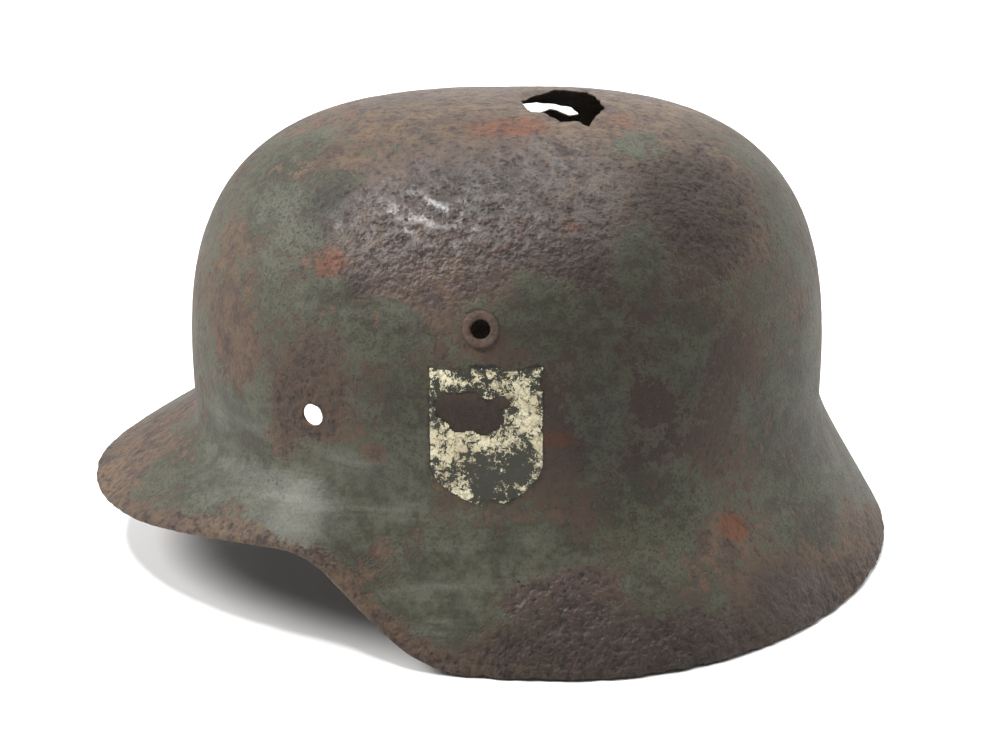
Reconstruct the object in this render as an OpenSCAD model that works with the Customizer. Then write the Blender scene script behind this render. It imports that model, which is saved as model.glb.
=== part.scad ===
// Relic pressed-steel helmet shell with two vent bushings and a shield transfer.
// The visor points to -X, the wearer's left side to -Y and the crown to +Z.
// The rim's lowest part, from the ears round the nape, lies in the plane z = 0.
// Angles round the helmet start at the visor's tip and run over the left side.

/* [Dome] */
// Length of the dome at its waist, front to back
dome_l = 226.5; // [190:0.5:250]
// Width of the dome at its waist
dome_w = 198; // [160:1:215]
// Height of the crown above the table
crown_h = 160.5; // [152:0.5:185]
// Squareness of the dome seen from above, where 2 is an ellipse
dome_plan = 2; // [2:0.05:2.5]
// Squareness of the dome's profile over the forehead
brow_square = 3.15; // [2:0.05:3.5]
// Squareness of the dome's profile over the ears
side_square = 2.3; // [2:0.05:3]
// Squareness of the dome's profile over the nape
nape_square = 3.05; // [2:0.05:3.5]

/* [Waist] */
// Height of the crease between dome and visor
waist_front_h = 52; // [46:1:62]
// Height of the waist over the ears
waist_side_h = 59.5; // [50:0.5:66]
// Height of the crease between dome and neck skirt
waist_rear_h = 54.5; // [46:0.5:62]

/* [Flare] */
// Reach of the visor beyond the dome
visor_reach = 38.5; // [26:0.5:46]
// Reach of the neck skirt beyond the dome
skirt_reach = 27; // [18:0.5:38]
// Reach of the side flare beyond the dome
side_reach = 23; // [14:0.5:30]
// Distance of the rim's widest place behind its middle
widest_back = 26.5; // [10:0.5:34]
// Squareness of the rim seen from above, where 2 is an ellipse
rim_plan = 1.87; // [1.75:0.01:2.2]
// Share of the visor's drop that falls straight before it flares
lead_front = 0.25; // [0.05:0.01:0.4]
// Share of the side's drop that falls straight before it flares
lead_side = 0.33; // [0.1:0.01:0.5]
// Share of the skirt's drop that falls straight before it flares
lead_rear = 0.15; // [0.05:0.01:0.4]
// Share of the flare's length that runs straight into the rim
flare_tail = 0.31; // [0.15:0.01:0.45]
// Extra fall of the lip over the length of the flare
lip_fall = 4.5; // [0:0.5:10]

/* [Rim] */
// Height of the rim at the tip of the visor
visor_h = 25; // [20:0.5:36]
// Height of the rim at the temples, its highest place
temple_h = 36; // [30:0.5:42]
// Angle of the temple's corner in the rim
temple_at = 57.5; // [54:0.5:66]
// Power of the rim's rise from the visor's tip, where 1 is even and 2 stays low for longer
temple_rise = 2; // [1:0.1:2.5]
// Angle over which the rim falls from the temple to the ear
fall_span = 17.5; // [12:0.5:20]
// Power of the fall's start, where 1 is gentle and 0.5 is a sharp corner
fall_start = 0.75; // [0.45:0.05:1]
// Outer radius of the edge, which is rolled inwards all round
roll_r = 1.9; // [1.8:0.05:2.6]
// Turn of the rolled edge round its curl
roll_turn = 215; // [180:5:240]

/* [Steel] */
// Thickness of the sheet
gauge = 1.2; // [1:0.05:1.5]

/* [Liner pin holes] */
// Bore of the three liner pin holes, which rust has eaten wider
pin_bore = 7.6; // [5:0.1:9]
// Height of the two front pin holes
pin_front_h = 75; // [72:0.5:84]
// Angle of the two front pin holes
pin_front_at = 55; // [48:0.5:58]
// Height of the rear pin hole
pin_rear_h = 76; // [72:0.5:84]

/* [Vents] */
// Clear bore through a vent bushing
vent_bore = 6; // [4:0.1:7]
// Wall of a vent bushing
vent_wall = 0.8; // [0.6:0.05:1.1]
// Diameter of a vent bushing's outer flange
vent_flange_d = 11.6; // [11:0.1:14]
// Height that the flange stands proud of the steel
vent_proud = 1.1; // [0.8:0.1:1.6]
// Reach of the bushing's rolled inner end past its tube
vent_roll = 1; // [0.6:0.1:1.4]
// Clearance between a bushing's tube and its seat
vent_clear = 0.1; // [0.05:0.05:0.2]
// Clearance between the rolled inner end and the steel's hollow face
vent_bed = 0.3; // [0.25:0.05:0.4]
// Height of the vents
vent_h = 106; // [102:0.5:114]
// Angle of the vents
vent_at = 84; // [78:0.5:90]

/* [Shield transfer] */
// Width of the shield
shield_w = 36.5; // [28:0.5:42]
// Height of the shield, from its top edge to its point
shield_h = 45.5; // [36:0.5:50]
// Height of the shield's straight sides
shield_side_h = 31; // [20:0.5:33]
// Distance of the shield's top edge below the vent's flange
shield_gap = 4.7; // [2:0.1:12]
// Angle of the shield's middle
shield_at = 85; // [78:0.5:92]
// Thickness of the lacquer film
film = 0.25; // [0.15:0.05:0.4]
// Clearance between the film and the steel
film_clear = 0.15; // [0.12:0.01:0.25]

/* [Tears] */
// Length of the torn hole in the crown, along the helmet
crown_tear_l = 27.5; // [18:0.5:34]
// Width of the torn hole in the crown, across the helmet
crown_tear_w = 40.5; // [26:0.5:46]
// Distance of the crown's tear behind the rim's middle
crown_tear_back = 25; // [10:1:34]
// Distance of the crown's tear from the middle plane, to the wearer's left
crown_tear_left = 11; // [0:0.5:18]
// Length of the tear high on the right side
side_tear_l = 27; // [16:0.5:34]
// Height of the right side's tear, measured up the steel
side_tear_w = 16; // [10:0.5:20]
// Depth of the right side's tear below the crown
side_tear_drop = 16; // [14:0.5:24]
// Angle of the right side's tear, from the visor's tip over the right side
side_tear_at = 104; // [95:1:115]

/* [Hidden] */

// Rows down the dome, the flare and the two faces of the rolled edge
dome_rows = 18;
flare_rows = 12;
roll_out_rows = 6;
roll_in_rows = 3;
// Columns round the left half, closer together where the rim falls at the temple
left_columns = concat([for (a = [0 : 6 : 48]) a], [for (a = [51 : 3 : 81]) a], [for (a = [84 : 6 : 180]) a]);
columns = concat(left_columns, [for (i = [len(left_columns) - 2 : -1 : 1]) 360 - left_columns[i]]);
// Rows and half the columns of the transfer
film_rows = 14;
film_half_columns = 5;
// Facets of the round holes and bushings, and of the small arcs in a bushing's section
round_fn = 32;
arc_fn = 16;
// Steps of the differences that give directions on the surface
turn_step = 1;
row_step = 0.01;
// Reach of the cutters on either side of the sheet
cut = 8;

rim_l = dome_l + visor_reach + skirt_reach;
rim_w = dome_w + 2 * side_reach;
dome_mid = (visor_reach - skirt_reach) / 2;
shield_top = vent_h - vent_flange_d / 2 - shield_gap;
side_tear_h = crown_h - side_tear_drop;

// Ragged outlines of the two tears, as shares of their half length and half width
crown_tear = [[-1, 0.3], [-0.75, 0.62], [-0.3, 0.8], [-0.1, 1], [0.35, 0.9], [0.72, 1], [0.88, 0.45],
    [1, -0.25], [0.78, -0.6], [0.55, -1], [0.2, -0.86], [-0.15, -0.9], [-0.5, -0.62], [-0.85, -0.46]];
side_tear = [[-1, 0.3], [-0.7, 1], [-0.25, 0.75], [0.1, 0.3], [0.4, 0.5], [0.7, 0.72], [0.95, 0.6],
    [0.8, 0], [0.3, -0.45], [-0.2, -0.8], [-0.75, -0.55]];

function unit(v) = v / norm(v);
function signed_pow(c, power) = sign(c) * pow(abs(c), power);
function ramp(t) = let (k = min(1, max(0, t))) k * k * (3 - 2 * k);

// A value that runs smoothly from the front over the sides to the rear
function around(u, front, side, rear) =
    let (c = cos(u)) side + (c > 0 ? front - side : rear - side) * c * c;

// A point of an oval seen from above, whose widest place may lie behind its middle
function oval(u, length, width, widest, square) =
    let (c = cos(u), half = length / 2 + (c > 0 ? widest : -widest))
    [widest - half * signed_pow(c, 2 / square), -width / 2 * signed_pow(sin(u), 2 / square), 0];

// The line where the dome meets the flare
function waist(u) = oval(u, dome_l, dome_w, 0, dome_plan)
    + [dome_mid, 0, around(u, waist_front_h, waist_side_h, waist_rear_h)];

function dome_square(u) = around(u, brow_square, side_square, nape_square);

// A point of the dome from its shares of the waist's reach and of the height above the waist
function dome_point(u, out, up) =
    let (w = waist(u)) [dome_mid + (w.x - dome_mid) * out, w.y * out, w.z + (crown_h - w.z) * up];

// A point of the dome by its angle above the waist
function dome_by_angle(u, a) =
    let (n = dome_square(u), r = pow(pow(cos(a), n) + pow(sin(a), n), -1 / n))
    dome_point(u, r * cos(a), r * sin(a));

// A point of the dome by its height above the table
function dome_by_height(u, z) =
    let (n = dome_square(u), w = waist(u), up = (z - w.z) / (crown_h - w.z))
    dome_point(u, pow(1 - pow(up, n), 1 / n), up);

// The share of the way from crown to waist at which the dome has a height
function dome_share(u, z) =
    let (n = dome_square(u), w = waist(u), up = (z - w.z) / (crown_h - w.z))
    1 - atan2(up, pow(1 - pow(up, n), 1 / n)) / 90;

// Height of the rim's underside
function rim_h(u) =
    let (a = abs(u > 180 ? 360 - u : u), fall = pow(max(0, a - temple_at) / fall_span, fall_start))
    (visor_h + (temple_h - visor_h) * pow(ramp(a / temple_at), temple_rise)) * (1 - ramp(fall));

// Centre line of the rolled edge, its run, the lip's fall into it and its outward side
function edge(u) = oval(u, rim_l - 2 * roll_r, rim_w - 2 * roll_r, widest_back, rim_plan)
    + [0, 0, rim_h(u) + roll_r];
function edge_run(u) = unit(edge(u + turn_step) - edge(u - turn_step));
function lead(u) =
    let (w = waist(u)) w - [0, 0, (w.z - rim_h(u)) * around(u, lead_front, lead_side, lead_rear)];
function lip(u) = unit(edge(u) - lead(u) - [0, 0, lip_fall]);
function edge_out(u) = unit(cross(lip(u), edge_run(u)));

// A point of the rolled edge at a radius and a turn round its curl
function curl(u, r, turn) =
    let (out = edge_out(u)) edge(u) + r * (out * cos(turn) + cross(edge_run(u), out) * sin(turn));

// A point of the flare, from the waist at 0 to the rolled edge at 1
function flare(u, t) =
    let (top = waist(u), from = lead(u), end = curl(u, roll_r, 0), tail = flare_tail * norm(end - from),
        low = end - lip(u) * tail, s = 1 - t)
    s * s * s * top + 3 * s * s * t * from + 3 * s * t * t * low + t * t * t * end;

// The outer face from the crown at 0 over the waist at 1 to the rolled edge at 2
function face(u, v) = v <= 1 ? dome_by_angle(u, 90 * (1 - v)) : flare(u, v - 1);
function face_out(u, v) = unit(cross(face(u, v + row_step) - face(u, v - row_step),
    face(u + turn_step, v) - face(u - turn_step, v)));
function lift(u, v, height) = face(u, v) + face_out(u, v) * height;

// The closed outline of the sheet in one column, without its two points at the crown
function section(u) = concat(
    [for (i = [1 : dome_rows]) face(u, i / dome_rows)],
    [for (i = [1 : flare_rows]) face(u, 1 + i / flare_rows)],
    [for (i = [1 : roll_out_rows]) curl(u, roll_r, roll_turn * i / roll_out_rows)],
    [for (i = [roll_in_rows : -1 : 0]) curl(u, roll_r - gauge, roll_turn * i / roll_in_rows)],
    [for (i = [flare_rows - 1 : -1 : 1]) lift(u, 1 + i / flare_rows, -gauge)],
    [for (i = [dome_rows : -1 : 1]) lift(u, i / dome_rows, -gauge)]);

// The pressed sheet before it is pierced
module pressed_sheet() {
    sections = [for (u = columns) section(u)];
    rows = len(sections[0]);
    count = len(columns);
    points = concat([for (s = sections) each s],
        [[dome_mid, 0, crown_h], [dome_mid, 0, crown_h - gauge]]);
    top = count * rows;
    faces = concat(
        [for (c = [0 : count - 1]) let (a = c * rows, b = (c + 1) % count * rows) each concat(
            [[top, b, a]],
            [for (r = [0 : rows - 2]) each [[a + r, b + r, a + r + 1], [b + r, b + r + 1, a + r + 1]]],
            [[a + rows - 1, b + rows - 1, top + 1]])]);
    polyhedron(points, faces, convexity = 6);
}

// Stands its children on the dome, with +Z outwards and +X down the steel
module on_dome(u, z) {
    down = dome_by_height(u, z - turn_step) - dome_by_height(u, z + turn_step);
    along = dome_by_height(u + turn_step, z) - dome_by_height(u - turn_step, z);
    out = unit(cross(down, along));
    translate(dome_by_height(u, z)) rotate([0, acos(out.z), atan2(out.y, out.x)]) children();
}

// Repeats its children on the right side
module both_sides() {
    children();
    mirror([0, 1, 0]) children();
}

module bore(d) {
    cylinder(h = 2 * cut, d = d, center = true, $fn = round_fn);
}

module ragged_cutter(outline, length, width) {
    linear_extrude(2 * cut, center = true)
        polygon([for (p = outline) [p.x * length / 2, p.y * width / 2]]);
}

module shell() {
    color([0.36, 0.35, 0.31]) difference() {
        pressed_sheet();
        both_sides() on_dome(pin_front_at, pin_front_h) bore(pin_bore);
        on_dome(180, pin_rear_h) bore(pin_bore);
        both_sides() on_dome(vent_at, vent_h) bore(vent_bore + 2 * (vent_wall + vent_clear));
        translate([crown_tear_back, -crown_tear_left, crown_h])
            ragged_cutter(crown_tear, crown_tear_l, crown_tear_w);
        on_dome(360 - side_tear_at, side_tear_h) rotate(-90)
            ragged_cutter(side_tear, side_tear_l, side_tear_w);
    }
}

// Half the section of a hollow rivet: a rounded outer flange, a tube and an end rolled outwards inside
module bushing_section() {
    bore_r = vent_bore / 2;
    tube_r = bore_r + vent_wall;
    band = vent_flange_d / 2 - bore_r;
    rise = vent_proud - vent_clear;
    crest_r = (band * band / 4 + rise * rise) / (2 * rise);
    foot = -gauge - vent_bed - vent_wall;
    intersection() {
        translate([bore_r + band / 2, vent_proud - crest_r]) circle(r = crest_r, $fn = arc_fn);
        translate([bore_r, vent_clear]) square([band, rise]);
    }
    translate([bore_r, foot]) square([vent_wall, vent_clear - foot]);
    translate([bore_r, foot]) square([vent_wall / 2 + vent_roll, vent_wall]);
    translate([tube_r + vent_roll - vent_wall / 2, foot + vent_wall / 2]) circle(d = vent_wall, $fn = arc_fn);
}

module vent_bushing() {
    rotate_extrude($fn = round_fn) bushing_section();
}

module vent_bushing_left() {
    color([0.42, 0.34, 0.31]) on_dome(vent_at, vent_h) vent_bushing();
}

module vent_bushing_right() {
    color([0.42, 0.34, 0.31]) mirror([0, 1, 0]) on_dome(vent_at, vent_h) vent_bushing();
}

// Half width of the shield at a depth below its top edge
function shield_half(depth) =
    let (t = max(0, depth - shield_side_h) / (shield_h - shield_side_h))
    shield_w / 2 * max(0.03, pow(max(0, 1 - t * t), 0.7));

// The share of the face at which it has a height under the waist, found by halving
function flare_share(u, z, low, high, turns) =
    let (mid = (low + high) / 2)
    turns == 0 ? mid : face(u, mid).z > z ? flare_share(u, z, mid, high, turns - 1)
        : flare_share(u, z, low, mid, turns - 1);

module shield_transfer() {
    first = dome_share(shield_at, shield_top);
    last = flare_share(shield_at, shield_top - shield_h, first, 2, 16);
    wide = 2 * film_half_columns + 1;
    count = (film_rows + 1) * wide;
    function film_grid(height) = [for (i = [0 : film_rows]) let (
        v = first + (last - first) * i / film_rows,
        degree = norm(face(shield_at + 1, v) - face(shield_at - 1, v)) / 2,
        half = shield_half(shield_top - face(shield_at, v).z) / degree)
        for (j = [-film_half_columns : film_half_columns])
            lift(shield_at + half * j / film_half_columns, v, height)];
    points = concat(film_grid(film_clear), film_grid(film_clear + film));
    cells = [for (i = [0 : film_rows - 1]) for (j = [0 : wide - 2]) i * wide + j];
    left = [for (i = [0 : film_rows]) i * wide];
    right = [for (i = [film_rows : -1 : 0]) i * wide + wide - 1];
    bottom = [for (j = [1 : wide - 2]) film_rows * wide + j];
    top = [for (j = [wide - 2 : -1 : 1]) j];
    border = concat(left, bottom, right, top);
    faces = concat(
        [for (c = cells) each [[c, c + wide, c + 1], [c + 1, c + wide, c + wide + 1]]],
        [for (c = cells) each [[count + c, count + c + 1, count + c + wide],
            [count + c + 1, count + c + wide + 1, count + c + wide]]],
        [for (k = [0 : len(border) - 1]) let (a = border[k], b = border[(k + 1) % len(border)])
            each [[a, count + b, b], [a, count + a, count + b]]]);
    color([0.78, 0.75, 0.64]) polyhedron(points, faces);
}

shell();
vent_bushing_left();
vent_bushing_right();
shield_transfer();
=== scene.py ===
"""Looks of a relic steel helmet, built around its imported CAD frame.

The sheet, its two vent rivets and the shield's film are rebuilt in fine mesh on the surface that the solids
follow, then torn, pitted, rusted and lit. Lengths are in millimetres until a mesh is stored. Angles round
the helmet are in degrees, start at the visor's tip and run over the wearer's left side.
"""
import logging
import math
from dataclasses import dataclass, field
from enum import Enum
from itertools import product

import bpy
import numpy as np
from mathutils import Matrix, Vector


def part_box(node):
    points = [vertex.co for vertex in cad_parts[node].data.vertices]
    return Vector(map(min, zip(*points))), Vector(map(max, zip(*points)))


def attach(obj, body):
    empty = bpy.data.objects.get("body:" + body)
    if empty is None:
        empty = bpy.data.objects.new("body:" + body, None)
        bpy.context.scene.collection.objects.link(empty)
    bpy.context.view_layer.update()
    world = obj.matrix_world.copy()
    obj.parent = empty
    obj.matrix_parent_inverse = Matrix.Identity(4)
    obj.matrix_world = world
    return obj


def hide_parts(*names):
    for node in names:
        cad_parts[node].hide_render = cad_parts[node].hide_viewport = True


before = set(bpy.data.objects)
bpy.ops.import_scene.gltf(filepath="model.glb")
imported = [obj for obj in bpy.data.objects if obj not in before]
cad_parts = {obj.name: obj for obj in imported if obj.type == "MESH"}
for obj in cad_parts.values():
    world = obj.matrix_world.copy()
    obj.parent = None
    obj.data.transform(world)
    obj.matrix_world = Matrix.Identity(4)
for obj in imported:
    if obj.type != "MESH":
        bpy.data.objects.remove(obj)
log = logging.getLogger("helmet")

Array = np.ndarray
Colour = tuple[float, float, float, float]
MM = 0.001
LEFT, REAR, ROUND = 90.0, 180.0, 360.0
FAR, TINY, TINIEST = 1e9, 1e-9, 1e-12
OIL_ROUGHNESS = 0.3
HASH_PRIMES = (73856093, 19349663, 83492791)
HASH_SEED, HASH_STIR, HASH_WORD = 40503, 0x45D9F3B, 0xFFFFFFFF


def unit(vectors: Array) -> Array:
    """Vectors scaled to length one."""
    return vectors / (np.linalg.norm(vectors, axis=-1, keepdims=True) + TINIEST)


def cosd(angles: Array | float) -> Array:
    """Cosine of angles in degrees."""
    return np.cos(np.radians(angles))


def sind(angles: Array | float) -> Array:
    """Sine of angles in degrees."""
    return np.sin(np.radians(angles))


def signed_pow(values: Array, power: float) -> Array:
    """A power that keeps the sign of its values."""
    return np.sign(values) * np.abs(values) ** power


def ramp(share: Array | float) -> Array:
    """Smooth step from 0 to 1 over shares from 0 to 1."""
    held = np.clip(share, 0.0, 1.0)
    return held * held * (3 - 2 * held)


def smooth(values: Array | float, low: float, high: float) -> Array:
    """Smooth step from 0 at low to 1 at high."""
    return ramp((values - low) / (high - low))


def srgb(red: int, green: int, blue: int) -> Colour:
    """A colour as nodes take it.

    Args:
        red: Display value from 0 to 255.
        green: The same for green.
        blue: The same for blue.

    Returns:
        The linear colour, opaque.
    """
    shares = [value / 255 for value in (red, green, blue)]
    linear = [s / 12.92 if s <= 0.04045 else ((s + 0.055) / 1.055) ** 2.4 for s in shares]
    return (*linear, 1.0)


def even_angles(count: int) -> Array:
    """Even angles once round, in degrees."""
    return np.arange(count) * ROUND / count


def circle(count: int) -> Array:
    """Even points on a circle of radius one."""
    turn = np.arange(count) * 2 * np.pi / count
    return np.column_stack([np.cos(turn), np.sin(turn)])


def mirrored(place: tuple[float, float]) -> tuple[float, float]:
    """A place given by its angle and its height, on the other side of the helmet."""
    return ROUND - place[0], place[1]


@dataclass(frozen=True)
class Grain:
    """Seeded noise in space, for shapes and for where wear lies."""

    seed: int

    def share(self, cells: Array, channel: int = 0) -> Array:
        """A fixed random share for each cell of a lattice.

        Args:
            cells: Whole numbers, with x, y and z on the last axis.
            channel: Which of several independent shares to give.

        Returns:
            Shares from 0 to 1, without the last axis.
        """
        x, y, z = (cells[..., axis] * prime for axis, prime in enumerate(HASH_PRIMES))
        mixed = (x ^ y ^ z ^ ((self.seed * 8 + channel) * HASH_SEED)) & HASH_WORD
        for _ in range(2):
            mixed = ((mixed ^ (mixed >> 16)) * HASH_STIR) & HASH_WORD
        return (mixed ^ (mixed >> 16)) / HASH_WORD

    def cloud(self, points: Array, size: float, octaves: int = 1) -> Array:
        """Smooth noise.

        Args:
            points: Places in millimetres.
            size: Size of the largest clouds in millimetres.
            octaves: How many times the noise is added at half the size and half the height.

        Returns:
            Values from about -1 to 1.
        """
        total, weight = np.zeros(points.shape[:-1]), 0.0
        for octave in range(octaves):
            scaled = points * (2**octave / size) + 17.31 * octave
            cells = np.floor(scaled).astype(np.int64)
            part = ramp(scaled - cells)
            value = np.zeros(points.shape[:-1])
            for corner in product((0, 1), repeat=3):
                near = np.where(corner, part, 1 - part).prod(axis=-1)
                value += near * self.share(cells + np.array(corner), octave)
            total += (value * 2 - 1) / 2**octave
            weight += 1 / 2**octave
        return total / weight * 1.6

    def pits(self, points: Array, size: float) -> Array:
        """Round pits scattered one to a cell, of uneven size.

        Args:
            points: Places in millimetres.
            size: Size of the cells in millimetres.

        Returns:
            Depths from 0 on the level to 1 at the bottom of a large pit.
        """
        scaled = points / size
        cells = np.floor(scaled).astype(np.int64)
        depth = np.zeros(points.shape[:-1])
        for offset in product((-1, 0, 1), repeat=3):
            here = cells + np.array(offset)
            centre = here + np.stack([self.share(here, axis) for axis in (1, 2, 3)], axis=-1)
            wide = 0.25 + 0.55 * self.share(here, 4)
            far = np.linalg.norm(centre - scaled, axis=-1) / wide
            depth = np.maximum(depth, wide * (1 - smooth(far, 0.35, 1.0)))
        return depth / 0.8


@dataclass(frozen=True)
class Seat:
    """A place on the dome: where it is, and its directions down the steel, along it and out of it."""

    origin: Array
    down: Array
    along: Array
    out: Array

    def local(self, points: Array) -> Array:
        """Points as lengths down, along and out from the seat."""
        return (points - self.origin) @ np.stack([self.down, self.along, self.out], axis=-1)

    def world(self, points: Array) -> Array:
        """Points given down, along and out, as points of the frame."""
        return self.origin + points @ np.stack([self.down, self.along, self.out])


@dataclass(frozen=True)
class ShellForm:
    """The outer face of the pressed sheet, by the rules that the solids follow.

    Sizes in threes hold at the front, at the sides and at the rear.
    """

    middle: float
    length: float
    width: float
    crown_h: float
    visor_reach: float = 38.5
    skirt_reach: float = 27.0
    side_reach: float = 23.0
    squareness: tuple[float, float, float] = (3.15, 2.3, 3.05)
    waist_h: tuple[float, float, float] = (52.0, 59.5, 54.5)
    widest_back: float = 26.5
    rim_plan: float = 1.87
    lead_share: tuple[float, float, float] = (0.25, 0.33, 0.15)
    flare_tail: float = 0.31
    lip_fall: float = 4.5
    visor_h: float = 25.0
    temple_h: float = 36.0
    temple_at: float = 57.5
    temple_rise: float = 2.0
    fall_span: float = 17.5
    fall_start: float = 0.75
    corner_turn: float = 4.0
    roll_r: float = 1.9
    roll_turn: float = 215.0
    gauge: float = 1.2
    turn_step: float = 1.0
    row_step: float = 0.01
    way_rows: int = 400
    way_turn: float = 15.0
    search_rows: int = 1500
    search_from: float = 0.02

    @classmethod
    def in_box(cls, low: Vector, high: Vector) -> "ShellForm":
        """The form that fills a box.

        Args:
            low: Lowest corner of the shell's box, in metres.
            high: Highest corner of that box, in metres.

        Returns:
            The form with the box's length, width and height.
        """
        size = (high - low) / MM
        return cls((low.x + high.x) / 2 / MM, size.x, size.y, high.z / MM)

    @property
    def dome_mid(self) -> float:
        """Place of the dome's middle along the helmet."""
        return self.middle + (self.visor_reach - self.skirt_reach) / 2

    def around(self, u: Array, front: float, side: float, rear: float) -> Array:
        """A value that runs smoothly from the front over the sides to the rear."""
        c = cosd(u)
        return side + np.where(c > 0, front - side, rear - side) * c * c

    def oval(self, u: Array, length: float, width: float, widest: float, square: float,
             rise: Array) -> Array:
        """Points of an oval seen from above, at given heights.

        Args:
            u: Angles round the helmet.
            length: Length of the oval.
            width: Width of the oval.
            widest: Distance of its widest place behind its middle.
            square: Its squareness, where 2 is an ellipse.
            rise: Height at each angle.

        Returns:
            Points, with x, y and z on the last axis.
        """
        c, s = cosd(u), sind(u)
        half = length / 2 + np.where(c > 0, widest, -widest)
        x = self.middle + widest - half * signed_pow(c, 2 / square)
        return np.stack(np.broadcast_arrays(x, -width / 2 * signed_pow(s, 2 / square), rise), axis=-1)

    def waist(self, u: Array) -> Array:
        """The line where the dome meets the flare, an ellipse seen from above.

        Args:
            u: Angles round the helmet.

        Returns:
            Points, with x, y and z on the last axis.
        """
        rise = self.around(u, *self.waist_h)
        line = self.oval(u, self.length - self.visor_reach - self.skirt_reach,
                         self.width - 2 * self.side_reach, 0.0, 2.0, rise)
        return line + np.array([self.dome_mid - self.middle, 0, 0])

    def dome_square(self, u: Array) -> Array:
        """Squareness of the dome's profile at each angle."""
        return self.around(u, *self.squareness)

    def dome_point(self, u: Array, out: Array, up: Array) -> Array:
        """Points of the dome from shares.

        Args:
            u: Angles round the helmet.
            out: Shares of the waist's reach.
            up: Shares of the height above the waist.

        Returns:
            Points, with x, y and z on the last axis.
        """
        w = self.waist(u)
        x = self.dome_mid + (w[..., 0] - self.dome_mid) * out
        return np.stack([x, w[..., 1] * out, w[..., 2] + (self.crown_h - w[..., 2]) * up], axis=-1)

    def dome_by_angle(self, u: Array, a: Array) -> Array:
        """Points of the dome by their angle above the waist.

        Args:
            u: Angles round the helmet.
            a: Angles from 0 at the waist to 90 at the crown.

        Returns:
            Points, with x, y and z on the last axis.
        """
        n = self.dome_square(u)
        c, s = np.clip(cosd(a), 0, 1), np.clip(sind(a), 0, 1)
        r = (c**n + s**n) ** (-1 / n)
        return self.dome_point(u, r * c, r * s)

    def dome_by_height(self, u: Array, z: Array) -> Array:
        """Points of the dome by their height.

        Args:
            u: Angles round the helmet.
            z: Heights above the table.

        Returns:
            Points, with x, y and z on the last axis.
        """
        n, w = self.dome_square(u), self.waist(u)
        up = (z - w[..., 2]) / (self.crown_h - w[..., 2])
        return self.dome_point(u, (1 - up**n) ** (1 / n), up)

    def rim_h(self, u: Array) -> Array:
        """Height of the rim's underside, with the temple's corner rounded as the press leaves it.

        Args:
            u: Angles round the helmet.

        Returns:
            Heights above the table.
        """
        total = 0.0
        weights = (1, 3, 5, 6, 5, 3, 1)
        for turn, weight in zip(np.linspace(-1, 1, len(weights)) * self.corner_turn, weights):
            a = np.abs((u + turn + REAR) % ROUND - REAR)
            fall = (np.maximum(0, a - self.temple_at) / self.fall_span) ** self.fall_start
            rise = ramp(a / self.temple_at) ** self.temple_rise
            height = self.visor_h + (self.temple_h - self.visor_h) * rise
            total = total + weight / sum(weights) * height * (1 - ramp(fall))
        return total

    def edge(self, u: Array) -> Array:
        """Centre line of the rolled edge."""
        inset = 2 * self.roll_r
        return self.oval(u, self.length - inset, self.width - inset, self.widest_back, self.rim_plan,
                         self.rim_h(u) + self.roll_r)

    def edge_run(self, u: Array) -> Array:
        """Direction of the rolled edge."""
        return unit(self.edge(u + self.turn_step) - self.edge(u - self.turn_step))

    def lead(self, u: Array) -> Array:
        """Point that the flare heads for as it leaves the waist.

        Args:
            u: Angles round the helmet.

        Returns:
            Points, with x, y and z on the last axis.
        """
        w = self.waist(u).copy()
        w[..., 2] -= (w[..., 2] - self.rim_h(u)) * self.around(u, *self.lead_share)
        return w

    def lip(self, u: Array) -> Array:
        """Direction in which the flare runs into the rolled edge."""
        return unit(self.edge(u) - self.lead(u) - np.array([0, 0, self.lip_fall]))

    def curl(self, u: Array, r: float, turn: Array | float) -> Array:
        """Points of the rolled edge.

        Args:
            u: Angles round the helmet.
            r: Radius of the curl.
            turn: Degrees round the curl, from 0 where the flare runs in.

        Returns:
            Points, with x, y and z on the last axis.
        """
        run = self.edge_run(u)
        out = unit(np.cross(self.lip(u), run))
        turn = np.asarray(turn)[..., None]
        return self.edge(u) + r * (out * cosd(turn) + np.cross(run, out) * sind(turn))

    def flare(self, u: Array, t: Array) -> Array:
        """Points of the flare.

        Args:
            u: Angles round the helmet.
            t: Shares of the way from the waist at 0 to the rolled edge at 1.

        Returns:
            Points, with x, y and z on the last axis.
        """
        start, end = self.lead(u), self.curl(u, self.roll_r, 0.0)
        tail = self.flare_tail * np.linalg.norm(end - start, axis=-1, keepdims=True)
        low = end - self.lip(u) * tail
        t = np.asarray(t)[..., None]
        s = 1 - t
        return s**3 * self.waist(u) + 3 * s * s * t * start + 3 * s * t * t * low + t**3 * end

    def face(self, u: Array, v: Array) -> Array:
        """Points of the outer face.

        Args:
            u: Angles round the helmet.
            v: Shares from the crown at 0 over the waist at 1 to the rolled edge at 2.

        Returns:
            Points, with x, y and z on the last axis.
        """
        u, v = np.broadcast_arrays(np.asarray(u, float), np.asarray(v, float))
        dome = self.dome_by_angle(u, LEFT * (1 - np.clip(v, 0, 1)))
        return np.where((v <= 1)[..., None], dome, self.flare(u, np.maximum(v - 1, 0)))

    def face_out(self, u: Array, v: Array) -> Array:
        """Direction out of the outer face.

        Args:
            u: Angles round the helmet.
            v: Shares of the face.

        Returns:
            Directions of length one.
        """
        u, v = np.broadcast_arrays(np.asarray(u, float), np.asarray(v, float))
        down = self.face(u, v + self.row_step) - self.face(u, np.maximum(v - self.row_step, 0.001))
        along = self.face(u + self.turn_step, v) - self.face(u - self.turn_step, v)
        return unit(np.cross(down, along))

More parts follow.
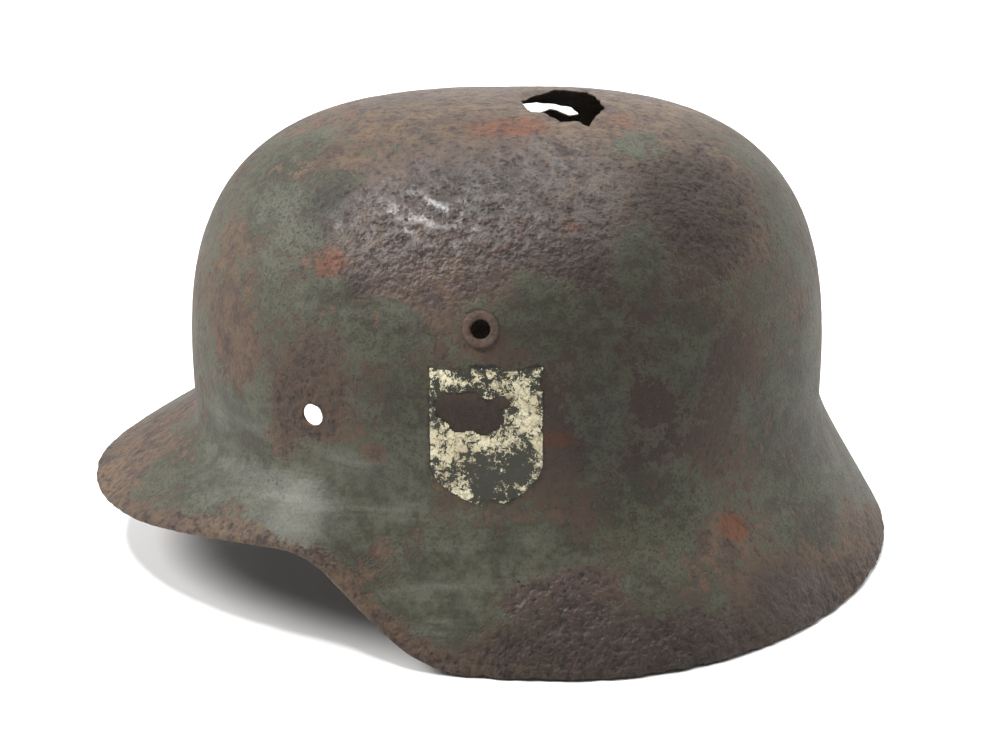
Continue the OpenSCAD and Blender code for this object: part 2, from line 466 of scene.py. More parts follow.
    def seat(self, u: float, z: float) -> Seat:
        """A place on the dome, with its directions.

        Args:
            u: Angle round the helmet.
            z: Height above the table.

        Returns:
            The seat.
        """
        down = unit(self.dome_by_height(u, z - 1) - self.dome_by_height(u, z + 1))
        along = unit(self.dome_by_height(u + 1, z) - self.dome_by_height(u - 1, z))
        out = unit(np.cross(down, along))
        down = unit(np.cross([0, 0, 1], out))
        return Seat(self.dome_by_height(u, z), np.cross(down, out), down, out)

    def share_at(self, u: float, z: float) -> float:
        """The share of the face, from 0 at the crown to 2 at the rolled edge, at which it has a height."""
        shares = np.linspace(self.search_from, 2, self.search_rows)
        return float(np.interp(-z, -self.face(u, shares)[:, 2], shares))

    def even_shares(self, start: float, stop: float, step: float) -> Array:
        """Shares of the face that divide its way down into even steps.

        Args:
            start: Share at which the way starts.
            stop: Share at which it ends.
            step: Rough length of a step, averaged round the helmet.

        Returns:
            The shares, with both ends.
        """
        fine = np.linspace(start, stop, self.way_rows)
        around = np.arange(0, ROUND, self.way_turn)
        lines = self.face(around[None], fine[:, None])
        steps = np.linalg.norm(np.diff(lines, axis=0), axis=-1).mean(axis=1)
        way = np.concatenate([[0], np.cumsum(steps)])
        return np.interp(np.linspace(0, way[-1], max(2, round(way[-1] / step)) + 1), way, fine)


@dataclass(frozen=True)
class Tear:
    """A torn hole: its seat, its ragged outline in shares of its half sizes, and those half sizes."""

    seat: Seat
    outline: tuple[tuple[float, float], ...]
    half: tuple[float, float]
    rough: float = 0.45
    grain: float = 3.2
    reach: float = 8.0
    same_side: float = 25.0

    def corners(self) -> Array:
        """Corners of the straight outline in the seat's plane."""
        return np.array(self.outline) * np.array(self.half)

    def border(self, step: float = 0.6) -> Array:
        """The torn outline, in small uneven steps.

        Args:
            step: Length between the points.

        Returns:
            Points of the seat's plane.
        """
        corners = self.corners()
        points = []
        for a, b in zip(corners, np.roll(corners, -1, axis=0)):
            count = max(2, round(float(np.linalg.norm(b - a)) / step))
            points += [a + (b - a) * i / count for i in range(count)]
        line = np.array(points)
        flat = np.column_stack([line, np.zeros(len(line))])
        shift = np.column_stack([Grain(seed).cloud(flat, self.grain, 2) for seed in (31, 32)])
        return line + self.rough * shift

    def distance(self, points: Array) -> Array:
        """Distance from the tear's straight outline.

        Args:
            points: Places on the sheet.

        Returns:
            Distances, negative inside, and very large on the helmet's far side.
        """
        local = self.seat.local(points)
        corners = self.corners()
        best, inside = np.full(len(points), FAR), np.zeros(len(points), bool)
        for a, b in zip(corners, np.roll(corners, -1, axis=0)):
            way = b - a
            from_a = local[:, :2] - a
            along = np.clip(from_a @ way / (way @ way), 0, 1)
            best = np.minimum(best, np.linalg.norm(from_a - along[:, None] * way, axis=-1))
            crosses = (a[1] > local[:, 1]) != (b[1] > local[:, 1])
            at = a[0] + (local[:, 1] - a[1]) * way[0] / (way[1] if abs(way[1]) > TINY else TINY)
            inside ^= crosses & (local[:, 0] < at)
        return np.where(np.abs(local[:, 2]) < self.same_side, np.where(inside, -best, best), FAR)


def mesh_of(name: str, points: Array, faces: list[list[int]]) -> bpy.types.Mesh:
    """Stores points, given in millimetres, and faces as a mesh.

    Args:
        name: Name of the mesh.
        points: One row for each vertex.
        faces: The corners of each face.

    Returns:
        The mesh, in metres.
    """
    mesh = bpy.data.meshes.new(name)
    mesh.from_pydata((points * MM).tolist(), [], faces)
    return mesh


def link(name: str, data: bpy.types.ID) -> bpy.types.Object:
    """Puts a mesh, a lamp or a camera in the scene.

    Args:
        name: Name of the object.
        data: What the object shows.

    Returns:
        The object.
    """
    made = bpy.data.objects.new(name, data)
    bpy.context.scene.collection.objects.link(made)
    return made


def corners_of(mesh: bpy.types.Mesh, what: str = "co") -> Array:
    """Places or normals of a mesh's vertices.

    Args:
        mesh: The mesh.
        what: "co" for places, which come in millimetres, or "normal".

    Returns:
        One row for each vertex.
    """
    values = np.zeros(len(mesh.vertices) * 3, np.float32)
    mesh.vertices.foreach_get(what, values)
    return values.reshape(-1, 3).astype(float) / (MM if what == "co" else 1)


def carry(mesh: bpy.types.Mesh, name: str, values: Array) -> None:
    """Stores a value for each vertex, for materials to read."""
    mesh.attributes.new(name, "FLOAT", "POINT").data.foreach_set("value", values.astype(np.float32))


def unroll(mesh: bpy.types.Mesh, name: str, places: Array) -> None:
    """Stores the place of each face's corner in the texture square."""
    mesh.uv_layers.new(name=name).data.foreach_set("uv", places.astype(np.float32).ravel())


def soften(mesh: bpy.types.Mesh, angle: float) -> None:
    """Shades a mesh smooth, save for edges that turn by more than an angle in degrees."""
    mesh.shade_smooth()
    mesh.set_sharp_from_angle(angle=math.radians(angle))


class Prism:
    """Closed straight cutters, gathered in one mesh."""

    def __init__(self) -> None:
        """Starts with no cutters."""
        self.points: list[Array] = []
        self.faces: list[list[int]] = []
        self.count = 0

    def add(self, seat: Seat, outline: Array, reach: float) -> None:
        """Adds a prism through a seat.

        Args:
            seat: Where the prism stands.
            outline: Its outline in the seat's plane, in order.
            reach: How far it goes out of the steel and into it.
        """
        size = len(outline)
        after = np.roll(outline, -1, axis=0)
        if (outline[:, 0] * after[:, 1] - outline[:, 1] * after[:, 0]).sum() < 0:
            outline = outline[::-1]
        low, high = self.count, self.count + size
        self.points += [seat.world(np.column_stack([outline, np.full(size, h)])) for h in (-reach, reach)]
        self.faces += [[low + i for i in reversed(range(size))], [high + i for i in range(size)]]
        for i in range(size):
            k = (i + 1) % size
            self.faces.append([low + i, low + k, high + k, high + i])
        self.count += 2 * size

    def build(self, name: str, material_index: int) -> bpy.types.Object:
        """Makes the object of all cutters.

        Args:
            name: Name of the object.
            material_index: Index of the material that the cut faces get.

        Returns:
            The object.
        """
        mesh = mesh_of(name, np.concatenate(self.points), self.faces)
        mesh.polygons.foreach_set("material_index", np.full(len(mesh.polygons), material_index, np.int32))
        return link(name, mesh)


class Wire:
    """A value in a material's nodes, with arithmetic."""

    def __init__(self, recipe: "Recipe", socket: bpy.types.NodeSocket) -> None:
        """Wraps an output socket of a recipe."""
        self.recipe = recipe
        self.socket = socket

    def __add__(self, other: "Wire | float") -> "Wire":
        """Sum."""
        return self.recipe.math("ADD", self, other)

    def __sub__(self, other: "Wire | float") -> "Wire":
        """Difference."""
        return self.recipe.math("SUBTRACT", self, other)

    def __rsub__(self, other: float) -> "Wire":
        """Difference from a number."""
        return self.recipe.math("SUBTRACT", other, self)

    def __mul__(self, other: "Wire | float") -> "Wire":
        """Product."""
        return self.recipe.math("MULTIPLY", self, other)

    __radd__ = __add__
    __rmul__ = __mul__


class Recipe:
    """The node tree of one material, built node by node."""

    def __init__(self, owner: "bpy.types.Material | bpy.types.World", places: str = "Object") -> None:
        """Empties the tree of a material or a world.

        Args:
            owner: What the nodes belong to.
            places: Which coordinates the noises use.
        """
        self.owner = owner
        owner.use_nodes = True
        self.tree = owner.node_tree
        self.tree.nodes.clear()
        self.place = Wire(self, self.node("ShaderNodeTexCoord").outputs[places])

    @classmethod
    def named(cls, name: str) -> "Recipe":
        """The empty recipe of a new material with that name."""
        return cls(bpy.data.materials.new(name))

    def node(self, kind: str, settings: dict | None = None, inputs: dict | None = None) -> bpy.types.Node:
        """Adds a node.

        Args:
            kind: The node's type.
            settings: Attributes by name, which are set first.
            inputs: Values or wires by socket name or number.

        Returns:
            The node.
        """
        made = self.tree.nodes.new(kind)
        for key, value in (settings or {}).items():
            setattr(made, key, value)
        for key, value in (inputs or {}).items():
            if isinstance(value, Wire):
                self.tree.links.new(value.socket, made.inputs[key])
            else:
                made.inputs[key].default_value = value
        return made

    def math(self, operation: str, *values: "Wire | float") -> Wire:
        """Adds a Math node on values and returns its result."""
        made = self.node("ShaderNodeMath", {"operation": operation}, dict(enumerate(values)))
        return Wire(self, made.outputs[0])

    def blend(self, share: "Wire | float", low: "Wire | Colour", high: "Wire | Colour") -> Wire:
        """A colour that goes from low to high with a share."""
        made = self.node("ShaderNodeMix", {"data_type": "RGBA"}, {0: share, 6: low, 7: high})
        return Wire(self, made.outputs[2])

    def dim(self, share: "Wire | float", colour: "Wire | Colour", tint: Colour) -> Wire:
        """A colour that a tint darkens with a share."""
        made = self.node("ShaderNodeMix", {"data_type": "RGBA", "blend_type": "MULTIPLY"},
                         {0: share, 6: colour, 7: tint})
        return Wire(self, made.outputs[2])

    def mix(self, share: "Wire | float", low: "Wire | float", high: "Wire | float") -> Wire:
        """A value that goes from low to high with a share."""
        made = self.node("ShaderNodeMix", {"data_type": "FLOAT"}, {0: share, 2: low, 3: high})
        return Wire(self, made.outputs[0])

    def step(self, value: "Wire | float", low: float, high: float) -> "Wire | float":
        """A smooth step of a value.

        Args:
            value: The value; a plain number is worked out here.
            low: Where the step is 0.
            high: Where it is 1.

        Returns:
            The share, as a wire or as a number.
        """
        if not isinstance(value, Wire):
            return float(smooth(value, low, high))
        made = self.node("ShaderNodeMapRange", {"interpolation_type": "SMOOTHSTEP"},
                         {"Value": value, "From Min": low, "From Max": high})
        return Wire(self, made.outputs["Result"])

    def moved(self, offset: float, stretch: tuple[float, float, float] = (1, 1, 1)) -> Wire:
        """Places on the object, moved so that noises differ.

        Args:
            offset: The move.
            stretch: Factors along the axes.

        Returns:
            The places.
        """
        scaled = self.node("ShaderNodeVectorMath", {"operation": "MULTIPLY"}, {0: self.place, 1: stretch})
        made = self.node("ShaderNodeVectorMath", {"operation": "ADD"},
                         {0: Wire(self, scaled.outputs[0]), 1: (offset, offset * 0.7, -offset)})
        return Wire(self, made.outputs[0])

    def noise(self, size: float, offset: float, detail: float = 2.0, rough: float = 0.55,
              stretch: tuple[float, float, float] = (1, 1, 1), bend: float = 0.0) -> Wire:
        """Noise about zero, from about -0.5 to 0.5.

        Args:
            size: Size of its largest clouds in millimetres.
            offset: Move that makes it differ from other noises.
            detail: Finer octaves.
            rough: Share of each finer octave.
            stretch: Factors on the coordinates, under 1 for long clouds.
            bend: Distortion.

        Returns:
            The value.
        """
        made = self.node("ShaderNodeTexNoise", {},
                         {"Vector": self.moved(offset, stretch), "Scale": 1 / (size * MM), "Detail": detail,
                          "Roughness": rough, "Distortion": bend})
        return Wire(self, made.outputs[0]) - 0.5

    def pits(self, size: float, offset: float) -> Wire:
        """Distance from scattered points, as a share of their spacing, which is given in millimetres."""
        made = self.node("ShaderNodeTexVoronoi", {},
                         {"Vector": self.moved(offset), "Scale": 1 / (size * MM), "Randomness": 1.0})
        return Wire(self, made.outputs["Distance"])

    def worn(self, name: str) -> Wire:
        """A value that the mesh carries."""
        return Wire(self, self.node("ShaderNodeAttribute", {"attribute_name": name}).outputs["Fac"])

    def finish(self, colour: "Wire | Colour", roughness: "Wire | float", height: Wire | None = None,
               oil: "Wire | float" = 0.0, ior: float = 1.4) -> bpy.types.Material:
        """Ends the tree in one shader.

        Args:
            colour: Base colour.
            roughness: Roughness.
            height: Height of the surface in millimetres.
            oil: Share of a thin glossy film on top, which follows the metal's own shape.
            ior: Index of refraction, which sets the gloss.

        Returns:
            The material.
        """
        inputs: dict = {"Base Color": colour, "Roughness": roughness, "IOR": ior, "Coat Weight": oil,
                        "Coat Roughness": OIL_ROUGHNESS}
        if height is not None:
            raised = self.node("ShaderNodeBump", {}, {"Strength": 1.0, "Distance": MM, "Height": height})
            inputs["Normal"] = Wire(self, raised.outputs[0])
        shader = self.node("ShaderNodeBsdfPrincipled", {}, inputs)
        self.node("ShaderNodeOutputMaterial", {}, {"Surface": Wire(self, shader.outputs[0])})
        return self.owner


class Wear(Enum):
    """What a mark does to the sheet, as the name of the value that the mesh carries: wear, and on the left
    side also painted shade and sheen.
    """

    PAINT = "paint_cover"
    RED = "red_rust"
    DARK = "dark_rust_and_shade"
    PITTED = "pitting"
    OILED = "oiled"
    WIPED_AND_SHEEN = "wiped_and_sheen"


@dataclass
class Layer:
    """One coat of a finish: its colour, roughness and height."""

    colour: Wire
    roughness: Wire
    height: Wire

    def over(self, lower: "Layer", cover: Wire) -> "Layer":
        """This coat over another.

        Args:
            lower: The coat below.
            cover: Where this coat still holds, from 0 to 1.

        Returns:
            Both coats as one.
        """
        recipe = cover.recipe
        return Layer(recipe.blend(cover, lower.colour, self.colour),
                     recipe.mix(cover, lower.roughness, self.roughness),
                     recipe.mix(cover, lower.height, self.height))


@dataclass(frozen=True)
class Rust:
    """Brown rust of old steel, with dark rust and painted shade in its pits, and redder fresh blooms."""

    brown: Colour = srgb(85, 69, 56)
    purple: Colour = srgb(74, 60, 54)
    dark: Colour = srgb(33, 27, 24)
    red: Colour = srgb(104, 61, 41)
    tan: Colour = srgb(116, 98, 77)

    def coat(self, recipe: Recipe, red: Wire | float, dark: Wire | float, pitting: Wire | float,
             oiled: Wire | float, sunk: Wire | float) -> Layer:
        """Builds the coat in a material.

        Args:
            recipe: The material's tree.
            red: Where fresh rust blooms.
            dark: Where old rust is darkest, and on the outer face also where shade is painted.
            pitting: How deeply the steel is pitted.
            oiled: Where oil makes the rust darker and glossy.
            sunk: How deep the metal itself lies in a pit, which sets the shade painted at its bottom.

        Returns:
            The coat.
        """
        clouds = recipe.noise(7.0, 1.3, 4.0, 0.62)
        lumps = recipe.noise(2.3, 5.2, 1.5, 0.5)
        crust = recipe.noise(2.3, 5.2, 5.0, 0.72)
        specks = recipe.noise(1.1, 2.1, 3.0, 0.6)
        grit = recipe.noise(0.5, 3.7, 1.0, 0.5)
        # Dark rust and painted shade in the hollows: hollow marks the scattered pits and valley the low
        # lumps, which the height below sinks as well.
        hollow = 1 - recipe.step(recipe.pits(2.1, 6.6) + crust * 1.2 + clouds * 1.2, 0.08, 0.34)
        valley = 1 - recipe.step(lumps + specks * 0.5, -0.16, 0.02)
        dry = 1 - recipe.step(dark + oiled * 0.6, 0.05, 0.5)
        aged = recipe.step(clouds - dark * 0.15 - oiled * 0.15, -0.18, 0.06)
        dust = recipe.step(clouds * 1.2 + crust * 0.9 + specks * 0.5, -0.15, 0.35)
        bloom = recipe.step(red + clouds * 1.2 + crust * 0.8, 0.4, 1.0)
        deep = recipe.step(dark * 0.7 + crust * 1.3 + clouds * 1.1, 0.25, 1.0)
        # Painted shade at the bottoms of the metal's own pits, from how deep the mesh lies sunk.
        pit_shade = recipe.step(sunk + crust * 0.9, 0.35, 0.95)
        colour = recipe.blend(aged, self.purple, self.brown)
        for share, tone in (
            (dust * (dry * 0.42 + 0.04), self.tan),
            (bloom * 0.75, self.red),
            (deep * 0.6, self.dark),
            # The next three tones paint shade in the hollows, over dark rust in the low lumps and in the
            # scattered pits.
            (valley * (0.12 + pitting * 0.5), self.dark),
            (pit_shade * 0.5, self.dark),
            (hollow * (0.05 + pitting * 0.6), self.dark),
        ):
            colour = recipe.blend(share, colour, tone)
        rough = recipe.mix(oiled, 0.7 + grit * 0.3, 0.36 + specks * 0.3)
        relief = lumps * 1.9 + specks * 0.8 - hollow * 0.45
        return Layer(colour, rough, relief * (0.2 + pitting * 0.42) + grit * 0.08)


@dataclass(frozen=True)
class WornPaint:
    """Thin grey-green field paint that rust has eaten from below."""

    name: str = "worn_field_paint"
    green: Colour = srgb(77, 77, 63)
    pale_and_sheen: Colour = srgb(101, 102, 92)
    shade: Colour = srgb(52, 51, 39)
    grime: Colour = (0.46, 0.42, 0.36, 1.0)
    rust_and_shade_tint: Colour = (0.54, 0.52, 0.46, 1.0)
    rust: Rust = Rust()

    def build(self) -> bpy.types.Material:
        """Makes the material.

        Returns:
            The material of the sheet's outer face.
        """
        r = Recipe.named(self.name)
        cover, red, dark, pitting, oiled, wiped_and_sheen = (r.worn(kind.value) for kind in Wear)
        sunk = r.worn("sunk")
        rust = self.rust.coat(r, red, dark, pitting, oiled, sunk)
        broad = r.noise(16.0, 7.9, 5.0, 0.6, bend=0.3)
        mottle = r.noise(3.6, 8.3, 4.0, 0.62)
        fine = r.noise(0.9, 9.1, 3.0, 0.65)
        streaks = r.noise(9.0, 4.4, 4.0, 0.6, (0.18, 0.7, 1.6))
        flecks = r.noise(1.3, 3.3, 3.0, 0.7)
        ragged = broad * 1.2 + mottle * 1.5 + fine * 0.9
        kept = cover + ragged + wiped_and_sheen * 0.15 - sunk * 0.4
        holds = r.step(kept, 0.47, 0.55)
        # Paint paled by streaks and rubbing; on the visor and low on the left side this also paints their
        # sheen and light.
        faded_and_sheen = r.step(streaks, -0.05, 0.18) * (0.15 + wiped_and_sheen * 0.45) + wiped_and_sheen * 0.2
        dirty = (1 - r.step(fine + mottle * 0.5, -0.14, 0.06)) * (0.8 - wiped_and_sheen * 0.4)
        stained = r.step(1.0 - cover - ragged * 0.8 + fine * 0.5, 0.25, 0.6)
        specked = r.step(flecks + mottle * 0.5, 0.1, 0.18)
        colour = r.blend(r.step(broad + mottle * 0.7, -0.15, 0.15), self.shade, self.green)
        colour = r.dim(dirty, r.blend(faded_and_sheen, colour, self.pale_and_sheen), self.grime)
        colour = r.blend(stained * 0.45, colour, self.rust.brown)
        colour = r.blend(specked * (1 - wiped_and_sheen * 0.6) * 0.55, colour, self.rust.dark)
        height = 0.12 + fine * 0.12 + mottle * 0.16 + streaks * wiped_and_sheen * 0.1
        height = height - specked * (1 - wiped_and_sheen * 0.8) * 0.1
        paint = Layer(colour, 0.62 + mottle * 0.3 - wiped_and_sheen * 0.14, height)
        both = paint.over(rust, holds)
        oil = oiled * (1 - holds * 0.75) * r.step(mottle + fine * 0.8 - sunk * 0.4, -0.15, 0.15) * 0.8
        relief = r.mix(r.step(kept, 0.3, 0.75), rust.height, paint.height)
        # Darkens the finish by the dark values: dark rust, and painted shade over the middle of the left
        # side.
        return r.finish(r.dim(dark, both.colour, self.rust_and_shade_tint), both.roughness, relief, oil)


@dataclass(frozen=True)
class HollowRust:
    """Dry dark rust with remains of paint, on the sheet's hollow face."""

    name: str = "hollow_face_rust"
    remains: Colour = srgb(62, 63, 53)
    rust: Rust = Rust(srgb(70, 57, 48), srgb(56, 47, 43), srgb(34, 28, 26), srgb(94, 58, 42),
                      srgb(88, 75, 62))

    def build(self) -> bpy.types.Material:
        """Makes the material.

        Returns:
            The material of the sheet's hollow face.
        """
        r = Recipe.named(self.name)
        rust = self.rust.coat(r, red=0.2, dark=0.35, pitting=0.5, oiled=0.0, sunk=r.worn("sunk"))
        broad, mottle = r.noise(24.0, 6.1, 4.0), r.noise(4.0, 6.9, 4.0, 0.62)
        colour = r.blend(mottle + 0.5, self.remains, self.rust.brown)
        paint = Layer(colour, 0.7 + mottle * 0.2, 0.08 + mottle * 0.08)
        both = paint.over(rust, r.step(broad * 1.5 + mottle, 0.1, 0.2))
        return r.finish(both.colour, both.roughness, both.height)


@dataclass(frozen=True)
class TornEdge:
    """Thin bright-brown edge of the tears and holes."""

    name: str = "torn_edge"
    dark: Colour = srgb(62, 48, 40)
    lit: Colour = srgb(132, 104, 84)

    def build(self) -> bpy.types.Material:
        """Makes the material.

        Returns:
            The material of the cut faces.
        """
        r = Recipe.named(self.name)
        specks, clouds = r.noise(0.8, 2.9, 3.0, 0.6), r.noise(3.0, 1.9, 3.0)
        colour = r.blend(r.step(specks + clouds, -0.2, 0.25), self.dark, self.lit)
        return r.finish(colour, 0.6 + specks * 0.4, specks * 0.2)


@dataclass(frozen=True)
class RivetSteel:
    """Rusty brown steel of the hollow rivets, with paint left in their corners."""

    name: str = "vent_rivet_steel"
    paint: Colour = srgb(74, 73, 60)
    rust: Rust = Rust(srgb(82, 64, 53), srgb(66, 52, 45), srgb(33, 27, 24), srgb(96, 60, 44),
                      srgb(98, 80, 66))

    def build(self) -> bpy.types.Material:
        """Makes the material.

        Returns:
            The material of the rivets.
        """
        r = Recipe.named(self.name)
        crest, mottle = r.worn("crest"), r.noise(1.6, 4.1, 4.0, 0.65)
        rust = self.rust.coat(r, red=0.3, dark=1 - crest, pitting=0.4, oiled=0.2, sunk=0.0)
        colour = r.blend(mottle + 0.5, self.paint, self.rust.brown)
        paint = Layer(colour, 0.55 + mottle * 0.3, 0.05 + mottle * 0.08)
        both = paint.over(rust, r.step(mottle * 1.6 - crest * 0.5, 0.0, 0.18))
        return r.finish(both.colour, both.roughness, both.height)


@dataclass(frozen=True)
class FlakedFilm:
    """Lacquer film with a plain cream field, mostly flaked to its dark ground, and a charcoal border."""

    name: str = "worn_transfer_film"
    cream: Colour = srgb(222, 216, 186)
    aged: Colour = srgb(182, 172, 140)
    ground: Colour = srgb(46, 47, 38)
    border: Colour = srgb(28, 30, 30)
    stain: Colour = srgb(76, 62, 50)

    def build(self) -> bpy.types.Material:
        """Makes the material.

        Returns:
            The material of the transfer.
        """
        r = Recipe.named(self.name)
        from_edge, kept = r.worn("from_edge"), r.worn("kept")
        broad = r.noise(7.5, 1.1, 4.0, 0.6)
        flakes = r.noise(2.3, 2.7, 5.0, 0.68, bend=0.6)
        fine = r.noise(0.45, 3.3, 3.0, 0.6)
        holds = r.step(kept + broad * 0.9 + flakes * 1.7 + fine * 0.7, 0.45, 0.55)
        lined = r.step(from_edge + flakes * 0.9, 0.7, 1.0)
        cracked = r.step(r.pits(1.1, 4.9) + fine * 0.4, 0.5, 0.7)
        cream = r.blend(r.step(broad + fine * 0.8, -0.15, 0.25), self.aged, self.cream)
        cream = r.blend(cracked * 0.4, cream, self.stain)
        ground = r.blend(r.step(flakes, -0.1, 0.2) * 0.35, self.ground, self.stain)
        border = r.blend(r.step(flakes + fine * 0.5, 0.06, 0.16), self.border, ground)
        colour = r.blend(lined, border, r.blend(holds, ground, cream))
        height = holds * lined * 0.06 + fine * 0.04 + flakes * 0.05
        return r.finish(colour, 0.5 + fine * 0.25, height)


class Slot(Enum):
    """The record's material slots."""

    PAINTED = "painted_steel"
    BUSHING = "bushing_steel"
    FILM = "transfer_film"


@dataclass(frozen=True)
class Mark:
    """A soft-edged mark on the sheet's left side: its middle, half sizes along and up, and its force."""

    wear: Wear
    x: float
    y: float
    z: float
    half_along: float
    half_up: float
    force: float = 1.0

    def share(self, points: Array) -> Array:
        """How much of the mark lies at each point.

        Args:
            points: Places on the sheet.

        Returns:
            Shares from 0 to the mark's force.
        """
        away = points - np.array([self.x, self.y, self.z])
        far = np.hypot(away[:, 0] / self.half_along, np.hypot(away[:, 1], away[:, 2]) / self.half_up)
        return self.force * (1 - smooth(far, 0.45, 1.35))


MARKS = tuple(Mark(wear, *row) for wear, rows in (
    (Wear.PAINT, (
        (-63, -25, 149, 11, 10, 0.5), (-54, -51, 141, 12, 8, 0.55), (-73, -39, 136, 8, 14, 0.45),
        (51, -41, 151, 12, 9, 0.45), (14, -67, 140, 5, 6, 0.5), (-52, -76, 111, 10, 7, 0.6),
        (-35, -85, 106, 14, 9, 0.6), (-85, -58, 56, 20, 20, 0.6), (-53, -90, 49, 30, 15, 0.7),
        (98, -58, 68, 22, 22, 0.35), (102, -62, 37, 18, 21, 0.35), (19, -90, 108, 18, 10, 0.5),
        (45, -75, 125, 7, 17, 0.45), (60, -82, 101, 11, 10, 0.4), (31, -96, 78, 10, 19, 0.45),
        (-27, -94, 75, 9, 17, 0.5), (0, -104, 34, 27, 10, 0.55), (-16, -110, 16, 10, 9, 0.45),
        (51, -93, 48, 20, 11, 0.4), (44, -105, 25, 8, 4, 0.4), (-85, -56, 89, 11, 16, -0.35),
        (-60, -79, 78, 15, 18, -0.38), (-71, -72, 63, 9, 7, -0.4), (-133, -7, 34, 15, 40, -0.6),
        (-20, -70, 135, 32, 28, -0.8), (21, -67, 140, 20, 33, -0.5), (66, -56, 136, 26, 26, -0.45),
        (-5, -91, 103, 6, 6, -0.6), (50, -90, 81, 10, 9, -0.35), (19, -98, 69, 10, 9, -0.45),
        (65, -85, 65, 21, 5, -0.35), (18, -109, 25, 20, 9, -0.6), (74, -88, 33, 12, 8, -0.4),
        (31, -115, 10, 34, 9, -0.5), (69, -108, 6, 32, 9, -0.5), (-39, -90, 65, 5, 4, -0.5),
        (-49, -86, 57, 7, 3, -0.4), (-38, -98, 37, 4, 4, -0.5), (-86, -44, 112, 14, 26, -0.22),
        (127, -51, 14, 13, 15, -0.3), (12, -84, 118, 7, 5, 0.35), (58, -86, 88, 7, 12, 0.3),
        (48, -86, 84, 46, 42, -0.12), (-92, -60, 52, 18, 18, 0.25), (-18, -107, 24, 18, 12, 0.3),
        (98, -88, 9, 34, 15, -0.35), (-9, -98, 79, 13, 8, -1.2),
    )),
    (Wear.RED, (
        (-51, -70, 121, 7, 6, 0.9), (-54, -9, 155, 12, 11, 0.5), (10, -34, 157, 8, 6, 0.7),
        (76, -86, 35, 7, 5, 0.9), (19, -98, 72, 7, 3, 0.6), (43, -27, 157, 8, 10, 0.5),
        (-65, -61, 122, 8, 4, 0.4), (-93, -46, 89, 7, 8, 0.4), (25, -74, 133, 4, 3, 0.6),
        (-136, -18, 30, 8, 20, 0.25), (-84, -47, 114, 13, 20, 0.25), (3, -34, 157, 17, 9, 0.6),
        (30, -94, 76, 26, 20, 0.2), (60, -84, 96, 20, 14, 0.25), (-60, -79, 78, 15, 18, 0.15),
    )),
    (Wear.DARK, (
        # Dark rust; the broad marks over the middle of the left side also paint shade there, and the
        # negative mark at the visor's tip lightens it as painted light.
        (-52, -58, 136, 11, 12, 0.6), (43, -114, 10, 60, 16, 0.5), (-7, -63, 143, 22, 13, 0.6),
        (-43, -77, 116, 5, 5, 0.7), (32, -82, 120, 5, 5, 0.7), (66, -56, 136, 24, 22, 0.5),
        (42, -90, 92, 50, 50, 0.65), (0, -103, 39, 7, 6, 0.5), (-9, -98, 79, 13, 8, 0.7),
        (-133, -7, 34, 20, 40, -0.15), (98, -88, 9, 36, 16, 0.4), (-78, -45, 125, 18, 24, -0.15),
        (-30, -92, 85, 17, 22, 0.4), (42, -92, 78, 22, 26, 0.25), (-60, -79, 80, 17, 20, 0.3),
    )),
    (Wear.WIPED_AND_SHEEN, (
        # Rubbed paint, paler and glossier, which also paints the sheen on the visor and the light low on the
        # left side.
        (-20, -108, 22, 20, 15, 0.95), (0, -104, 34, 28, 9, 0.6), (-53, -90, 49, 34, 20, 1.0),
        (-85, -58, 56, 22, 22, 0.7),
    )),
    (Wear.OILED, (
        (98, -88, 9, 36, 13, 0.5), (-20, -70, 135, 34, 30, 1.0), (20, -66, 141, 24, 30, 0.6),
        (18, -109, 25, 26, 12, 0.8), (52, -111, 10, 50, 10, 0.6),
    )),
    (Wear.PITTED, (
        (-20, -70, 135, 34, 30, 0.7), (21, -67, 140, 22, 33, 0.8), (66, -56, 136, 28, 28, 0.7),
        (-60, -79, 78, 14, 17, 0.4), (18, -109, 25, 22, 11, 0.8), (50, -112, 8, 60, 12, 0.7),
        (-133, -7, 34, 15, 40, 0.3),
    )),
) for row in rows)


